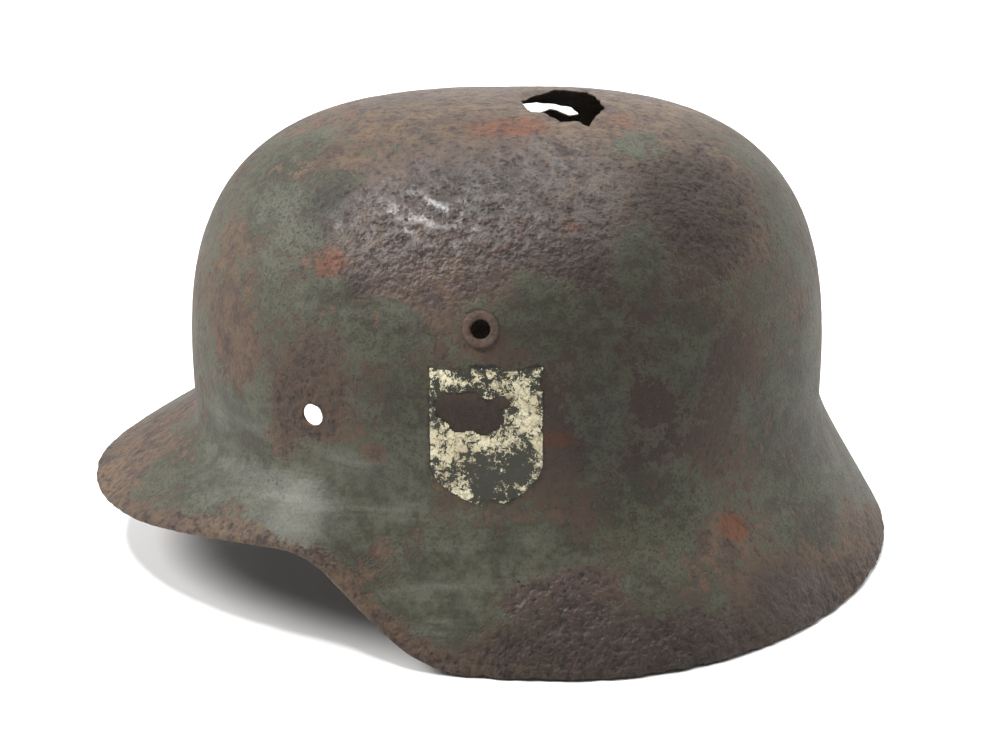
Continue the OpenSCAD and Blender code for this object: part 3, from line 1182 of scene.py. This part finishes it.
@dataclass(frozen=True)
class WearMap:
    """Where paint, rust and pits lie on the sheet, and where shade and sheen are painted on its left side.
    """

    form: ShellForm
    marks: tuple[Mark, ...] = MARKS
    rim_band: float = 3.4
    skirt_band: float = 13.0
    most_paint: float = 0.76
    broad_size: float = 46.0
    mid_size: float = 17.0
    left_side: tuple[float, float] = (-6.0, 22.0)
    rear_half: tuple[float, float] = (-45.0, 20.0)
    crown_top: tuple[float, float] = (142.0, 158.0)

    def from_rim(self, points: Array) -> Array:
        """Distance from the rolled edge's centre line.

        Args:
            points: Places on the sheet.

        Returns:
            Distances in millimetres.
        """
        line = self.form.edge(np.arange(0, ROUND, 0.5))
        far = np.full(len(points), np.inf)
        for place in line:
            away = points - place
            far = np.minimum(far, np.einsum("ij,ij->i", away, away))
        return np.sqrt(far)

    def values(self, points: Array) -> dict[Wear, Array]:
        """The wear at each point.

        Args:
            points: Places on the sheet in millimetres.

        Returns:
            A value from about 0 to 1 for each kind of wear and of painted shade and sheen.
        """
        shown = smooth(-points[:, 1], *self.left_side)
        broad, mid = Grain(11).cloud(points, self.broad_size, 2), Grain(12).cloud(points, self.mid_size, 2)
        above = self.from_rim(points)
        rim = 1 - smooth(above + mid * 1.3, self.rim_band * 0.6, self.rim_band * 1.5)
        skirt = 1 - smooth(above + mid * 5, self.skirt_band * 0.4, self.skirt_band * 1.3)
        rear = smooth(points[:, 0], *self.rear_half)
        crown = smooth(points[:, 2] + mid * 4, *self.crown_top)
        free = 1 - 0.65 * shown
        patches, reds, darks = 0.3 * broad + 0.15 * mid, Grain(13), Grain(14)
        got = {
            Wear.PAINT: 0.6 + patches * free - 0.5 * rim - 0.45 * skirt * rear - 0.4 * crown,
            Wear.RED: (0.25 + 0.3 * reds.cloud(points, 24.0, 2)) * free + 0.1,
            Wear.DARK: 0.2 + 0.25 * darks.cloud(points, 30.0, 2) * free + 0.15 * skirt * rear - 0.2 * crown,
            Wear.PITTED: 0.18 + 0.25 * crown + 0.35 * rim + 0.4 * skirt * rear - 0.3 * broad * free,
            Wear.OILED: 0.25 * crown * free,
            Wear.WIPED_AND_SHEEN: 0.2 * smooth(Grain(15).cloud(points, 40.0), 0.1, 0.6),
        }
        for mark in self.marks:
            got[mark.wear] = got[mark.wear] + mark.share(points) * shown
        held = {wear: np.clip(value, 0, 1) for wear, value in got.items()}
        held[Wear.PAINT] = np.minimum(held[Wear.PAINT], self.most_paint + 0.2 * held[Wear.WIPED_AND_SHEEN])
        return held


@dataclass
class Skin:
    """A closed skin of rings between two poles, whose rings may halve or double their corners."""

    rings: list[Array] = field(default_factory=list)
    levels: list[float] = field(default_factory=list)
    outer: list[bool] = field(default_factory=list)

    def add(self, ring: Array, level: float, outer: bool) -> None:
        """Adds a ring.

        Args:
            ring: Its points, in order round the helmet.
            level: Its height in the texture square, from 0 to 1.
            outer: Whether it lies on the outer face.
        """
        self.rings.append(ring)
        self.levels.append(level)
        self.outer.append(outer)

    def strip(self, above: int, below: int) -> list[list[tuple[int, int]]]:
        """Faces between two rings.

        Args:
            above: Number of the upper ring.
            below: Number of the lower ring.

        Returns:
            The corners of each face as (ring, column), with columns that run past the seam.
        """
        n, m = len(self.rings[above]), len(self.rings[below])
        if n == m:
            return [[(above, c), (below, c), (below, c + 1), (above, c + 1)] for c in range(n)]
        if m == 1:
            return [[(above, c), (below, c), (above, c + 1)] for c in range(n)]
        if n == 1:
            return [[(above, c), (below, c), (below, c + 1)] for c in range(m)]
        faces = []
        if m > n:
            for c in range(n):
                faces += [[(above, c), (below, 2 * c), (below, 2 * c + 1)],
                          [(above, c), (below, 2 * c + 1), (above, c + 1)],
                          [(above, c + 1), (below, 2 * c + 1), (below, 2 * c + 2)]]
        else:
            for c in range(m):
                faces += [[(above, 2 * c), (below, c), (above, 2 * c + 1)],
                          [(above, 2 * c + 1), (below, c), (below, c + 1)],
                          [(above, 2 * c + 1), (below, c + 1), (above, 2 * c + 2)]]
        return faces

    def build(self, name: str) -> bpy.types.Mesh:
        """Makes the mesh, with its texture square and the outside as material 0 and the inside as 1.

        Args:
            name: Name of the mesh.

        Returns:
            The mesh, in metres.
        """
        sizes = [len(ring) for ring in self.rings]
        starts = np.concatenate([[0], np.cumsum(sizes)])
        widest = [max(sizes[max(i - 1, 0)], sizes[min(i + 1, len(sizes) - 1)]) if n == 1 else n
                  for i, n in enumerate(sizes)]
        faces, places, inside = [], [], []
        for i in range(len(self.rings) - 1):
            for corners in self.strip(i, i + 1):
                faces.append([int(starts[r]) + c % sizes[r] for r, c in corners])
                places += [((c + 0.5 * (sizes[r] == 1)) / widest[r], self.levels[r]) for r, c in corners]
                inside.append(0 if self.outer[i + 1] else 1)
        mesh = mesh_of(name, np.concatenate(self.rings), faces)
        unroll(mesh, "sheet", np.array(places))
        mesh.polygons.foreach_set("material_index", np.array(inside, np.int32))
        mesh.update()
        return mesh


@dataclass
class PressedSheet:
    """The pressed shell: dome, visor, flare and rolled rim, torn and pierced."""

    form: ShellForm
    columns: int = 576
    hollow_columns: int = 288
    row: float = 1.45
    hollow_row: float = 3.2
    roll_rows: int = 10
    hollow_roll_rows: int = 5
    hole_corners: int = 64
    hole_reach: float = 6.0
    hole_grain: float = 1.3
    square_face: float = 0.23
    square_margin: float = 0.02
    square_roll: tuple[float, float] = (0.54, 0.003)
    square_hollow_roll: tuple[float, float] = (0.49, 0.002)
    dent: float = 0.22
    dent_size: float = 38.0
    set_in: float = 0.15
    lip_bend: tuple[float, float] = (1.5, 1.2)
    lip_reach: float = 7.0
    lip_grain: float = 9.0
    thinned: float = 0.6
    thin_reach: float = 9.0
    pits: tuple[tuple[int, float, float], ...] = ((51, 0.34, 5.2), (52, 0.24, 3.1))
    deepest: float = 0.8
    flange_clear: tuple[float, float] = (6.5, 9.0)
    film_mid: tuple[float, float] = (-5.0, 73.0)
    film_half: tuple[float, float] = (21.0, 26.0)
    film_clear: tuple[float, float] = (1.0, 1.25)
    rim_reach: tuple[float, float] = (3.0, 6.0)
    sharp_above: float = 42.0
    pin_r: float = 3.8
    pin_front: tuple[float, float] = (55.0, 75.0)
    pin_rear: tuple[float, float] = (180.0, 76.0)
    vent: tuple[float, float] = (84.0, 106.0)
    vent_seat_r: float = 3.9
    crown_tear_at: tuple[float, float] = (25.0, -11.0)
    crown_tear_half: tuple[float, float] = (13.75, 20.25)
    side_tear_at: float = 256.0
    side_tear_drop: float = 16.0
    side_tear_half: tuple[float, float] = (13.5, 8.0)
    crown_outline: tuple[tuple[float, float], ...] = (
        (-1, 0.3), (-0.75, 0.62), (-0.3, 0.8), (-0.1, 1), (0.35, 0.9), (0.72, 1), (0.88, 0.45),
        (1, -0.25), (0.78, -0.6), (0.55, -1), (0.2, -0.86), (-0.15, -0.9), (-0.5, -0.62), (-0.85, -0.46))
    side_outline: tuple[tuple[float, float], ...] = (
        (-1, 0.3), (-0.7, 1), (-0.25, 0.75), (0.1, 0.3), (0.4, 0.5), (0.7, 0.72), (0.95, 0.6),
        (0.8, 0), (0.3, -0.45), (-0.2, -0.8), (-0.75, -0.55))

    def tears(self) -> tuple[Tear, Tear]:
        """The torn holes.

        Returns:
            The one in the crown and the one high on the right side.
        """
        x, y = self.crown_tear_at
        level = Seat(np.array([self.form.middle + x, y, self.form.crown_h]), np.array([1.0, 0, 0]),
                     np.array([0, 1.0, 0]), np.array([0, 0, 1.0]))
        side = self.form.seat(self.side_tear_at, self.form.crown_h - self.side_tear_drop)
        turned = Seat(side.origin, -side.along, side.down, side.out)
        return (Tear(level, self.crown_outline, self.crown_tear_half),
                Tear(turned, self.side_outline, self.side_tear_half))

    def relief(self, points: Array) -> Array:
        """How far the sheet stands out before rust, in shallow waves and lips bent in at the tears.

        Args:
            points: Places on the form's outer face.

        Returns:
            Heights along the form's direction out.
        """
        waves = self.dent * Grain(21).cloud(points, self.dent_size, 2) - self.set_in
        for tear, bend in zip(self.tears(), self.lip_bend):
            near = 1 - smooth(tear.distance(points), 0.0, self.lip_reach)
            waves = waves - bend * near * near * (0.6 + 0.5 * Grain(22).cloud(points, self.lip_grain))
        return waves

    def thickness(self, points: Array) -> Array:
        """Thickness of the sheet, which rust has thinned at the tears."""
        near = sum(1 - smooth(tear.distance(points), 0.0, self.thin_reach) for tear in self.tears())
        return self.form.gauge * (1 - self.thinned * near)

    def count_at(self, share: float, most: int, row: float) -> int:
        """How many columns a ring of the dome gets.

        Args:
            share: Share of the face at which the ring lies.
            most: Columns at the waist.
            row: Wanted width of a column.

        Returns:
            The columns at the waist, halved as often as the ring's length allows.
        """
        wanted = 2 * np.pi * np.linalg.norm(self.form.face(LEFT, share)[:2]) / row
        return min((n for n in (most >> k for k in range(6)) if n >= wanted * 0.8), default=most)

    def ring(self, share: float, hollow: bool) -> Array:
        """Points of one ring of the sheet.

        Args:
            share: Share of the face at which it lies.
            hollow: Whether it lies on the hollow face.

        Returns:
            Points, with x, y and z on the last axis.
        """
        most, row = (self.hollow_columns, self.hollow_row) if hollow else (self.columns, self.row)
        u = even_angles(most if share >= 1 else self.count_at(share, most, row))
        base, out = self.form.face(u, share), self.form.face_out(u, share)
        height = self.relief(base) - (self.thickness(base) if hollow else 0)
        return base + out * np.atleast_1d(height)[:, None]

    def skin(self) -> Skin:
        """Lays the rings of the whole sheet.

        Returns:
            The skin, from the crown outside round the rim to the crown inside.
        """
        form, skin = self.form, Skin()
        dome, flare = form.even_shares(0.0, 1.0, self.row)[1:], form.even_shares(1.0, 2.0, self.row)[1:]
        hollow = np.concatenate([form.even_shares(0.0, 1.0, self.hollow_row)[1:],
                                 form.even_shares(1.0, 2.0, self.hollow_row)[1:-1]])
        crown = np.array([[form.dome_mid, 0, form.crown_h]])
        settle = self.relief(crown)[0]
        skin.add(crown + [0, 0, settle], 1.0, True)
        for share in np.concatenate([dome, flare]):
            skin.add(self.ring(share, False), 1 - self.square_face * share, True)
        u, rows = even_angles(self.columns), self.roll_rows
        level, step = self.square_roll
        for i in range(1, rows + 1):
            turned = form.curl(u, form.roll_r, form.roll_turn * i / rows)
            skin.add(turned + form.face_out(u, 1.99) * self.relief(turned)[:, None] * (1 - i / rows),
                     level - step * i, True)
        u, rows = even_angles(self.hollow_columns), self.hollow_roll_rows
        level, step = self.square_hollow_roll
        for i in range(rows, -1, -1):
            skin.add(form.curl(u, form.roll_r - form.gauge, form.roll_turn * i / rows),
                     level - step * (rows - i), False)
        for share in hollow[::-1]:
            skin.add(self.ring(share, True), self.square_margin + self.square_face * share, False)
        skin.add(crown + [0, 0, settle - form.gauge], self.square_margin, False)
        return skin

    def cutter(self) -> bpy.types.Object:
        """Makes the cutters of two tears, three pin holes and two vent seats.

        Returns:
            One object of all of them.
        """
        prism = Prism()
        for tear in self.tears():
            prism.add(tear.seat, tear.border(), tear.reach)
        outline = circle(self.hole_corners)
        around = np.column_stack([outline * self.hole_grain, np.zeros(self.hole_corners)])
        holes = ((self.pin_front, self.pin_r, 0.5, 41), (mirrored(self.pin_front), self.pin_r, 0.25, 42),
                 (self.pin_rear, self.pin_r, 0.2, 43), (self.vent, self.vent_seat_r, 0, 44),
                 (mirrored(self.vent), self.vent_seat_r, 0, 45))
        for place, radius, ragged, seed in holes:
            wobble = radius + ragged * Grain(seed).cloud(around, self.hole_grain, 3)
            prism.add(self.form.seat(*place), outline * wobble[:, None], self.hole_reach)
        return prism.build("hole_cutters", 2)

    def rust_away(self, mesh: bpy.types.Mesh, wear: WearMap) -> None:
        """Pits and nicks the cut mesh, and stores the wear and the painted shade and sheen on it.

        Args:
            mesh: The sheet's mesh, in metres.
            wear: Where paint, rust and pits lie, and where shade and sheen are painted.
        """
        points, normals = corners_of(mesh), corners_of(mesh, "normal")
        outside = np.zeros(len(points), bool)
        for polygon in mesh.polygons:
            if polygon.material_index == 0:
                outside[list(polygon.vertices)] = True
        values = wear.values(points)
        pitting = values[Wear.PITTED]
        for place in (self.vent, mirrored(self.vent)):
            flange = np.linalg.norm(points - self.form.seat(*place).origin, axis=-1)
            pitting = pitting * smooth(flange, *self.flange_clear)
        film = np.hypot(*((points[:, (0, 2)] - self.film_mid) / self.film_half).T)
        pitting = pitting * np.where(points[:, 1] < 0, smooth(film, *self.film_clear), 1)
        depth = sum(deep * Grain(seed).pits(points, size) for seed, deep, size in self.pits)
        rough = 0.1 * np.abs(Grain(53).cloud(points, 3.2, 2))
        rim = 1 - smooth(wear.from_rim(points), *self.rim_reach)
        worn_off = 0.28 * np.maximum(0, Grain(54).cloud(points, 5.0, 2))
        nicks = rim * (worn_off + 0.12 * Grain(55).pits(points, 3.4))
        sunk = np.where(outside, pitting * depth * 1.5, 0.25 * depth)
        depth = sunk + nicks + np.where(outside, rough * (0.3 + pitting), 0)
        points = points - normals * depth[:, None]
        low, high = (np.array(corner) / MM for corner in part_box("shell"))
        points = np.clip(points, low, high)
        mesh.vertices.foreach_set("co", (points * MM).astype(np.float32).ravel())
        for kind in Wear:
            carry(mesh, kind.value, values[kind])
        carry(mesh, "sunk", np.clip(sunk / self.deepest, 0, 1))
        soften(mesh, self.sharp_above)
        mesh.update()

    def build(self, wear: WearMap) -> bpy.types.Object:
        """Makes the sheet.

        Args:
            wear: Where paint, rust and pits lie, and where shade and sheen are painted.

        Returns:
            The object, dressed and riding on the frame.
        """
        whole = link("uncut_sheet", self.skin().build("pressed_sheet"))
        for finish in (WornPaint(), HollowRust(), TornEdge()):
            whole.data.materials.append(finish.build())
        cutter = self.cutter()
        cut = whole.modifiers.new("holes", "BOOLEAN")
        cut.operation, cut.solver, cut.material_mode = "DIFFERENCE", "MANIFOLD", "INDEX"
        cut.object = cutter
        graph = bpy.context.evaluated_depsgraph_get()
        mesh = bpy.data.meshes.new_from_object(whole.evaluated_get(graph), preserve_all_data_layers=True,
                                               depsgraph=graph)
        for spare in (whole, cutter):
            bpy.data.objects.remove(spare)
        self.rust_away(mesh, wear)
        sheet = link("pressed_sheet", mesh)
        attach(sheet, "root")
        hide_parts("shell")
        return sheet


@dataclass
class VentRivet:
    """A hollow rivet that lines a vent hole, with a domed outer flange and an end rolled outwards inside."""

    seat: Seat
    node: str
    name: str
    seed: int
    bore_r: float = 3.0
    wall: float = 0.8
    flange_r: float = 5.8
    proud: float = 0.85
    skirt: float = -0.12
    foot: float = -2.3
    roll: float = 1.0
    lift: float = 0.1
    bore_end: float = 0.2
    bevel: tuple[tuple[float, float], ...] = ((0.08, 0.05), (0.3, 0.0))
    neck: float = -1.0
    tuck: float = 0.15
    crest_rows: int = 25
    bore_rows: int = 7
    end_rows: int = 9
    crest_power: float = 0.8
    segments: int = 120
    sharp_above: float = 50.0

    def section(self) -> Array:
        """Draws the closed section.

        Returns:
            Rows of radius, height, and a share that is 1 on the flange's crest.
        """
        tube = self.bore_r + self.wall
        mid, half = (self.bore_r + self.flange_r) / 2, (self.flange_r - self.bore_r) / 2
        turn = np.linspace(0, np.pi, self.crest_rows)
        rise = self.lift + (self.proud - self.lift) * np.sin(turn) ** self.crest_power
        crest = np.column_stack([mid + half * np.cos(turn), rise, np.sin(turn) ** 2])
        down = np.linspace(-self.lift, self.foot + self.bore_end, self.bore_rows)
        bore = np.column_stack([np.full(self.bore_rows, self.bore_r), down, np.zeros(self.bore_rows)])
        round_r = self.wall / 2
        swing = np.linspace(-np.pi / 2, np.pi / 2, self.end_rows)
        end = np.column_stack([tube + self.roll - round_r + round_r * np.cos(swing),
                               self.foot + round_r + round_r * np.sin(swing), np.zeros(self.end_rows)])
        corner = np.array([[self.bore_r + out, self.foot + up, 0] for out, up in self.bevel])
        under = np.array([[tube, self.foot + self.wall, 0], [tube, self.neck, 0], [tube, self.skirt, 0],
                          [self.flange_r - self.tuck, self.skirt, 0]])
        return np.concatenate([crest, bore, corner, end, under])

    def build(self) -> bpy.types.Object:
        """Makes the rivet.

        Returns:
            The object, dressed and riding on the frame.
        """
        section, n = self.section(), self.segments
        rows = len(section)
        local = np.zeros((n, rows, 3))
        local[..., :2] = circle(n)[:, None] * section[None, :, :1]
        local[..., 2] = section[None, :, 1]
        grain = Grain(self.seed)
        flat = local.reshape(-1, 3)
        dirs = unit(flat * np.array([1, 1, 0]))
        shown = np.tile(section[:, 2], n)
        worn = 0.06 * grain.cloud(flat, 4.0, 2) - 0.16 * shown * grain.pits(flat, 1.6)
        flat = flat + dirs * (0.05 * grain.cloud(flat, 3.0, 2))[:, None]
        flat[:, 2] += worn * shown
        faces, places = [], []
        for i in range(n):
            for k in range(rows):
                a, b = (i + 1) % n, (k + 1) % rows
                faces.append([i * rows + k, i * rows + b, a * rows + b, a * rows + k])
                places += [(i / n, k / rows), (i / n, (k + 1) / rows), ((i + 1) / n, (k + 1) / rows),
                           ((i + 1) / n, k / rows)]
        mesh = mesh_of(self.name, self.seat.world(flat), faces)
        unroll(mesh, "rivet", np.array(places))
        carry(mesh, "crest", shown)
        soften(mesh, self.sharp_above)
        mesh.materials.append(bpy.data.materials.get(RivetSteel.name) or RivetSteel().build())
        rivet = link(self.name, mesh)
        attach(rivet, "root")
        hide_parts(self.node)
        return rivet


@dataclass
class ShieldFilm:
    """The shield's thin film, chipped at its outline and worn through in its middle."""

    sheet: PressedSheet
    at: float = 85.0
    top: float = 95.5
    height: float = 45.5
    side_height: float = 31.0
    width: float = 36.5
    film: float = 0.24
    bed: float = 0.05
    cell: float = 0.36
    point_w: float = 0.03
    point_power: float = 0.7
    chip: tuple[float, float] = (-3.2, 15.2)
    chip_half: tuple[float, float] = (9.6, 5.8)
    curl: float = 0.12
    square: tuple[float, float] = (0.48, 0.96)
    square_from: tuple[tuple[float, float], ...] = ((0.51, 0.02), (0.01, 0.02))
    sharp_above: float = 50.0

    def half_width(self, depth: Array) -> Array:
        """Half width of the shield at a depth below its top edge."""
        t = np.maximum(0, depth - self.side_height) / (self.height - self.side_height)
        return self.width / 2 * np.maximum(self.point_w, np.maximum(0, 1 - t * t) ** self.point_power)

    def kept_cells(self, across: Array, depth: Array, half: Array) -> tuple[Array, Array, Array]:
        """Which parts of the film still hold.

        Args:
            across: Distance from the shield's middle line.
            depth: Distance below its top edge.
            half: Half width at that depth.

        Returns:
            Distance from the outline, how well the cream holds, and a signed share that is under 0 where
            the film itself is gone.
        """
        flat = np.stack([across, depth, np.zeros_like(depth)], axis=-1)
        slope = np.gradient(half[:, 0])[:, None] / self.cell
        from_side = (half - np.abs(across)) / np.sqrt(1 + slope**2)
        from_edge = np.minimum(np.minimum(from_side, depth), self.height - depth)
        ragged = 0.5 * Grain(61).cloud(flat, 2.6, 3) + 0.15
        big = 2.4 * np.maximum(0, Grain(62).cloud(flat, 7.0, 2) - 0.25)
        x, y = (across - self.chip[0]) / self.chip_half[0], (depth - self.chip[1]) / self.chip_half[1]
        hole = np.hypot(x, y + 0.35 * x * x) - 1 + 0.35 * Grain(63).cloud(flat, 5.0, 3)
        gone = np.minimum(from_edge - ragged - big, hole * 4)
        kept = 0.25 + 0.2 * Grain(64).cloud(flat, 11.0) + 0.2 * smooth(hole, 0.0, 1.2)
        return from_edge, kept, gone

    def build(self) -> bpy.types.Object:
        """Makes the film.

        Returns:
            The object, dressed and riding on the frame.
        """
        form = self.sheet.form
        first, last = form.share_at(self.at, self.top), form.share_at(self.at, self.top - self.height)
        rows, columns = round(self.height / self.cell), round(self.width / self.cell)
        share = np.linspace(first, last, rows + 1)[:, None]
        middle = form.face(self.at, share)[:, 0]
        degree = np.linalg.norm(form.face(self.at + 1, share) - form.face(self.at - 1, share), axis=-1) / 2
        depth = (self.top - middle[:, 2])[:, None] + np.zeros((1, columns + 1))
        half = self.half_width(depth)
        across = half * np.linspace(-1, 1, columns + 1)[None]
        u = self.at + across / degree
        base, out = form.face(u, share + 0 * u), form.face_out(u, share + 0 * u)
        flat, outs = base.reshape(-1, 3), out.reshape(-1, 3)
        relief = self.sheet.relief(flat)
        from_edge, kept, gone = self.kept_cells(across, depth, half)
        holds = np.minimum.reduce([gone[:-1, :-1], gone[1:, :-1], gone[:-1, 1:], gone[1:, 1:]]) > 0
        curl = self.curl * (1 - smooth(gone, 0, 1.2)) * (0.5 + 0.5 * Grain(65).cloud(base, 5.0))
        lower = flat + outs * (relief + self.bed)[:, None]
        upper = flat + outs * (relief + self.bed + self.film + curl.ravel())[:, None]
        faces = self.shell_faces(holds, columns + 1, len(flat))
        used = np.unique(np.concatenate([np.array(face) for face in faces]))
        renumber = np.zeros(2 * len(flat), int)
        renumber[used] = np.arange(len(used))
        mesh = mesh_of("worn_transfer", np.concatenate([lower, upper])[used],
                       [[int(renumber[i]) for i in face] for face in faces])
        place = np.column_stack([(across / self.width + 0.5).ravel(), 1 - (depth / self.height).ravel()])
        place = np.concatenate([place * np.array(self.square) + np.array(low) for low in self.square_from])
        corner = np.zeros(len(mesh.loops), np.int32)
        mesh.loops.foreach_get("vertex_index", corner)
        unroll(mesh, "film", place[used][corner])
        for name, values in (("from_edge", from_edge), ("kept", kept)):
            carry(mesh, name, np.tile(values.ravel(), 2)[used])
        soften(mesh, self.sharp_above)
        mesh.materials.append(FlakedFilm().build())
        film = link("worn_transfer", mesh)
        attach(film, "root")
        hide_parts("shield_transfer")
        return film

    def shell_faces(self, holds: Array, wide: int, size: int) -> list[list[int]]:
        """Faces of both sides of the cells that hold, and of the film's edges.

        Args:
            holds: Which cells of the grid hold.
            wide: Points in a row of the grid.
            size: Points in the grid, by which the upper side's numbers are higher.

        Returns:
            The corners of each face.
        """
        faces = []
        rows, columns = holds.shape
        for i, j in zip(*np.nonzero(holds)):
            a = int(i * wide + j)
            b, c, d = a + wide, a + wide + 1, a + 1
            faces.append([size + a, size + b, size + c, size + d])
            faces.append([a, d, c, b])
            sides = (((i, j - 1), (a, b)), ((i + 1, j), (b, c)), ((i, j + 1), (c, d)), ((i - 1, j), (d, a)))
            for (k, m), (p, q) in sides:
                if not (0 <= k < rows and 0 <= m < columns and holds[k, m]):
                    faces.append([size + q, size + p, p, q])
        return faces


@dataclass(frozen=True)
class PaleTable:
    """Pale matt table top."""

    name: str = "pale_table"
    light: Colour = srgb(240, 240, 239)
    shade: Colour = srgb(236, 235, 234)

    def build(self) -> bpy.types.Material:
        """Makes the material of the floor."""
        r = Recipe.named(self.name)
        return r.finish(r.blend(r.noise(60.0, 0.4, 2.0), self.shade, self.light), 0.75)


@dataclass(frozen=True)
class Lamp:
    """A far lamp: its direction from the helmet, degrees across, and watts per square metre."""

    name: str
    toward: tuple[float, float, float]
    angle: float
    power: float

    def hang(self) -> None:
        """Hangs the lamp."""
        data = bpy.data.lights.new(self.name, "SUN")
        data.energy, data.angle = self.power, math.radians(self.angle)
        lamp = link(self.name, data)
        lamp.rotation_mode = "QUATERNION"
        lamp.rotation_quaternion = Vector(self.toward).to_track_quat("Z", "Y")


@dataclass
class Studio:
    """Pale floor, soft light, and the camera at the photograph's angle."""

    azimuth: float = -1.5
    elevation: float = 20.376
    distance: float = 612.0
    target: tuple[float, float] = (3.034, 57.214)
    roll: float = -0.659
    lens: float = 60.12
    sensor: float = 36.0
    clip: tuple[float, float] = (0.05, 50.0)
    floor_r: float = 9000.0
    floor_corners: int = 96
    sky_even: float = 0.12
    sky_slope: float = 1.8
    sky_toward: tuple[float, float, float] = (0.6, 1.0, 0.0)
    lamps: tuple[Lamp, ...] = (
        Lamp("overhead", (-0.255, -0.19, 0.95), 5.0, 1.7),
        Lamp("upper_right", (0.35, 0.2, 0.9), 60.0, 2.1),
        Lamp("left", (-0.74, 0.05, 0.67), 25.0, 3.4),
    )

    def add_floor(self) -> None:
        """Makes the floor, which is stage and not part of the object."""
        n = self.floor_corners
        ring = np.column_stack([circle(n) * self.floor_r, np.zeros(n)])
        mesh = mesh_of("table_top", ring, [list(range(n))])
        mesh.materials.append(PaleTable().build())
        link("table_top", mesh)

    def add_sky(self) -> None:
        """Sets a plain surround that grows paler from the camera's side to the far side."""
        world = bpy.data.worlds.new("studio")
        r = Recipe(world, "Generated")
        toward = Vector(self.sky_toward).normalized()
        facing = r.node("ShaderNodeVectorMath", {"operation": "DOT_PRODUCT"}, {0: r.place, 1: tuple(toward)})
        strength = r.math("MAXIMUM", Wire(r, facing.outputs["Value"]), 0.0) * self.sky_slope + self.sky_even
        light = r.node("ShaderNodeBackground", {}, {"Color": (1.0, 1.0, 1.0, 1.0), "Strength": strength})
        r.node("ShaderNodeOutputWorld", {}, {"Surface": Wire(r, light.outputs[0])})
        bpy.context.scene.world = world

    def add_camera(self) -> None:
        """Stands the camera where the photograph was taken from."""
        a, e, r = (math.radians(x) for x in (self.azimuth, self.elevation, self.roll))
        back = Vector((math.sin(a) * math.cos(e), -math.cos(a) * math.cos(e), math.sin(e)))
        level = Vector((math.cos(a), math.sin(a), 0))
        up = back.cross(level)
        right = level * math.cos(r) + up * math.sin(r)
        top = up * math.cos(r) - level * math.sin(r)
        data = bpy.data.cameras.new("camera")
        data.lens, data.sensor_width = self.lens, self.sensor
        data.clip_start, data.clip_end = self.clip
        camera = link("camera", data)
        place = (Vector((self.target[0], 0, self.target[1])) + back * self.distance) * MM
        camera.matrix_world = Matrix.Translation(place) @ Matrix((right, top, back)).transposed().to_4x4()
        bpy.context.scene.camera = camera

    def build(self) -> None:
        """Sets up the whole studio."""
        self.add_floor()
        self.add_sky()
        for lamp in self.lamps:
            lamp.hang()
        self.add_camera()
        bpy.context.scene.view_settings.view_transform = "Standard"


def main() -> None:
    """Builds the helmet and its studio."""
    logging.basicConfig(level=logging.INFO, format="%(message)s")
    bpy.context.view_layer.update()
    form = ShellForm.in_box(*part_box("shell"))
    sheet = PressedSheet(form)
    made: list[bpy.types.Object] = [sheet.build(WearMap(form))]
    u, z = sheet.vent
    for angle, side, seed in ((u, "left", 71), (ROUND - u, "right", 72)):
        rivet = VentRivet(form.seat(angle, z), f"vent_bushing_{side}", f"vent_rivet_{side}", seed)
        made.append(rivet.build())
    made.append(ShieldFilm(sheet).build())
    for piece in made:
        log.info("%s: %d faces", piece.name, len(piece.data.polygons))
    Studio().build()


if __name__ == "__main__":
    main()
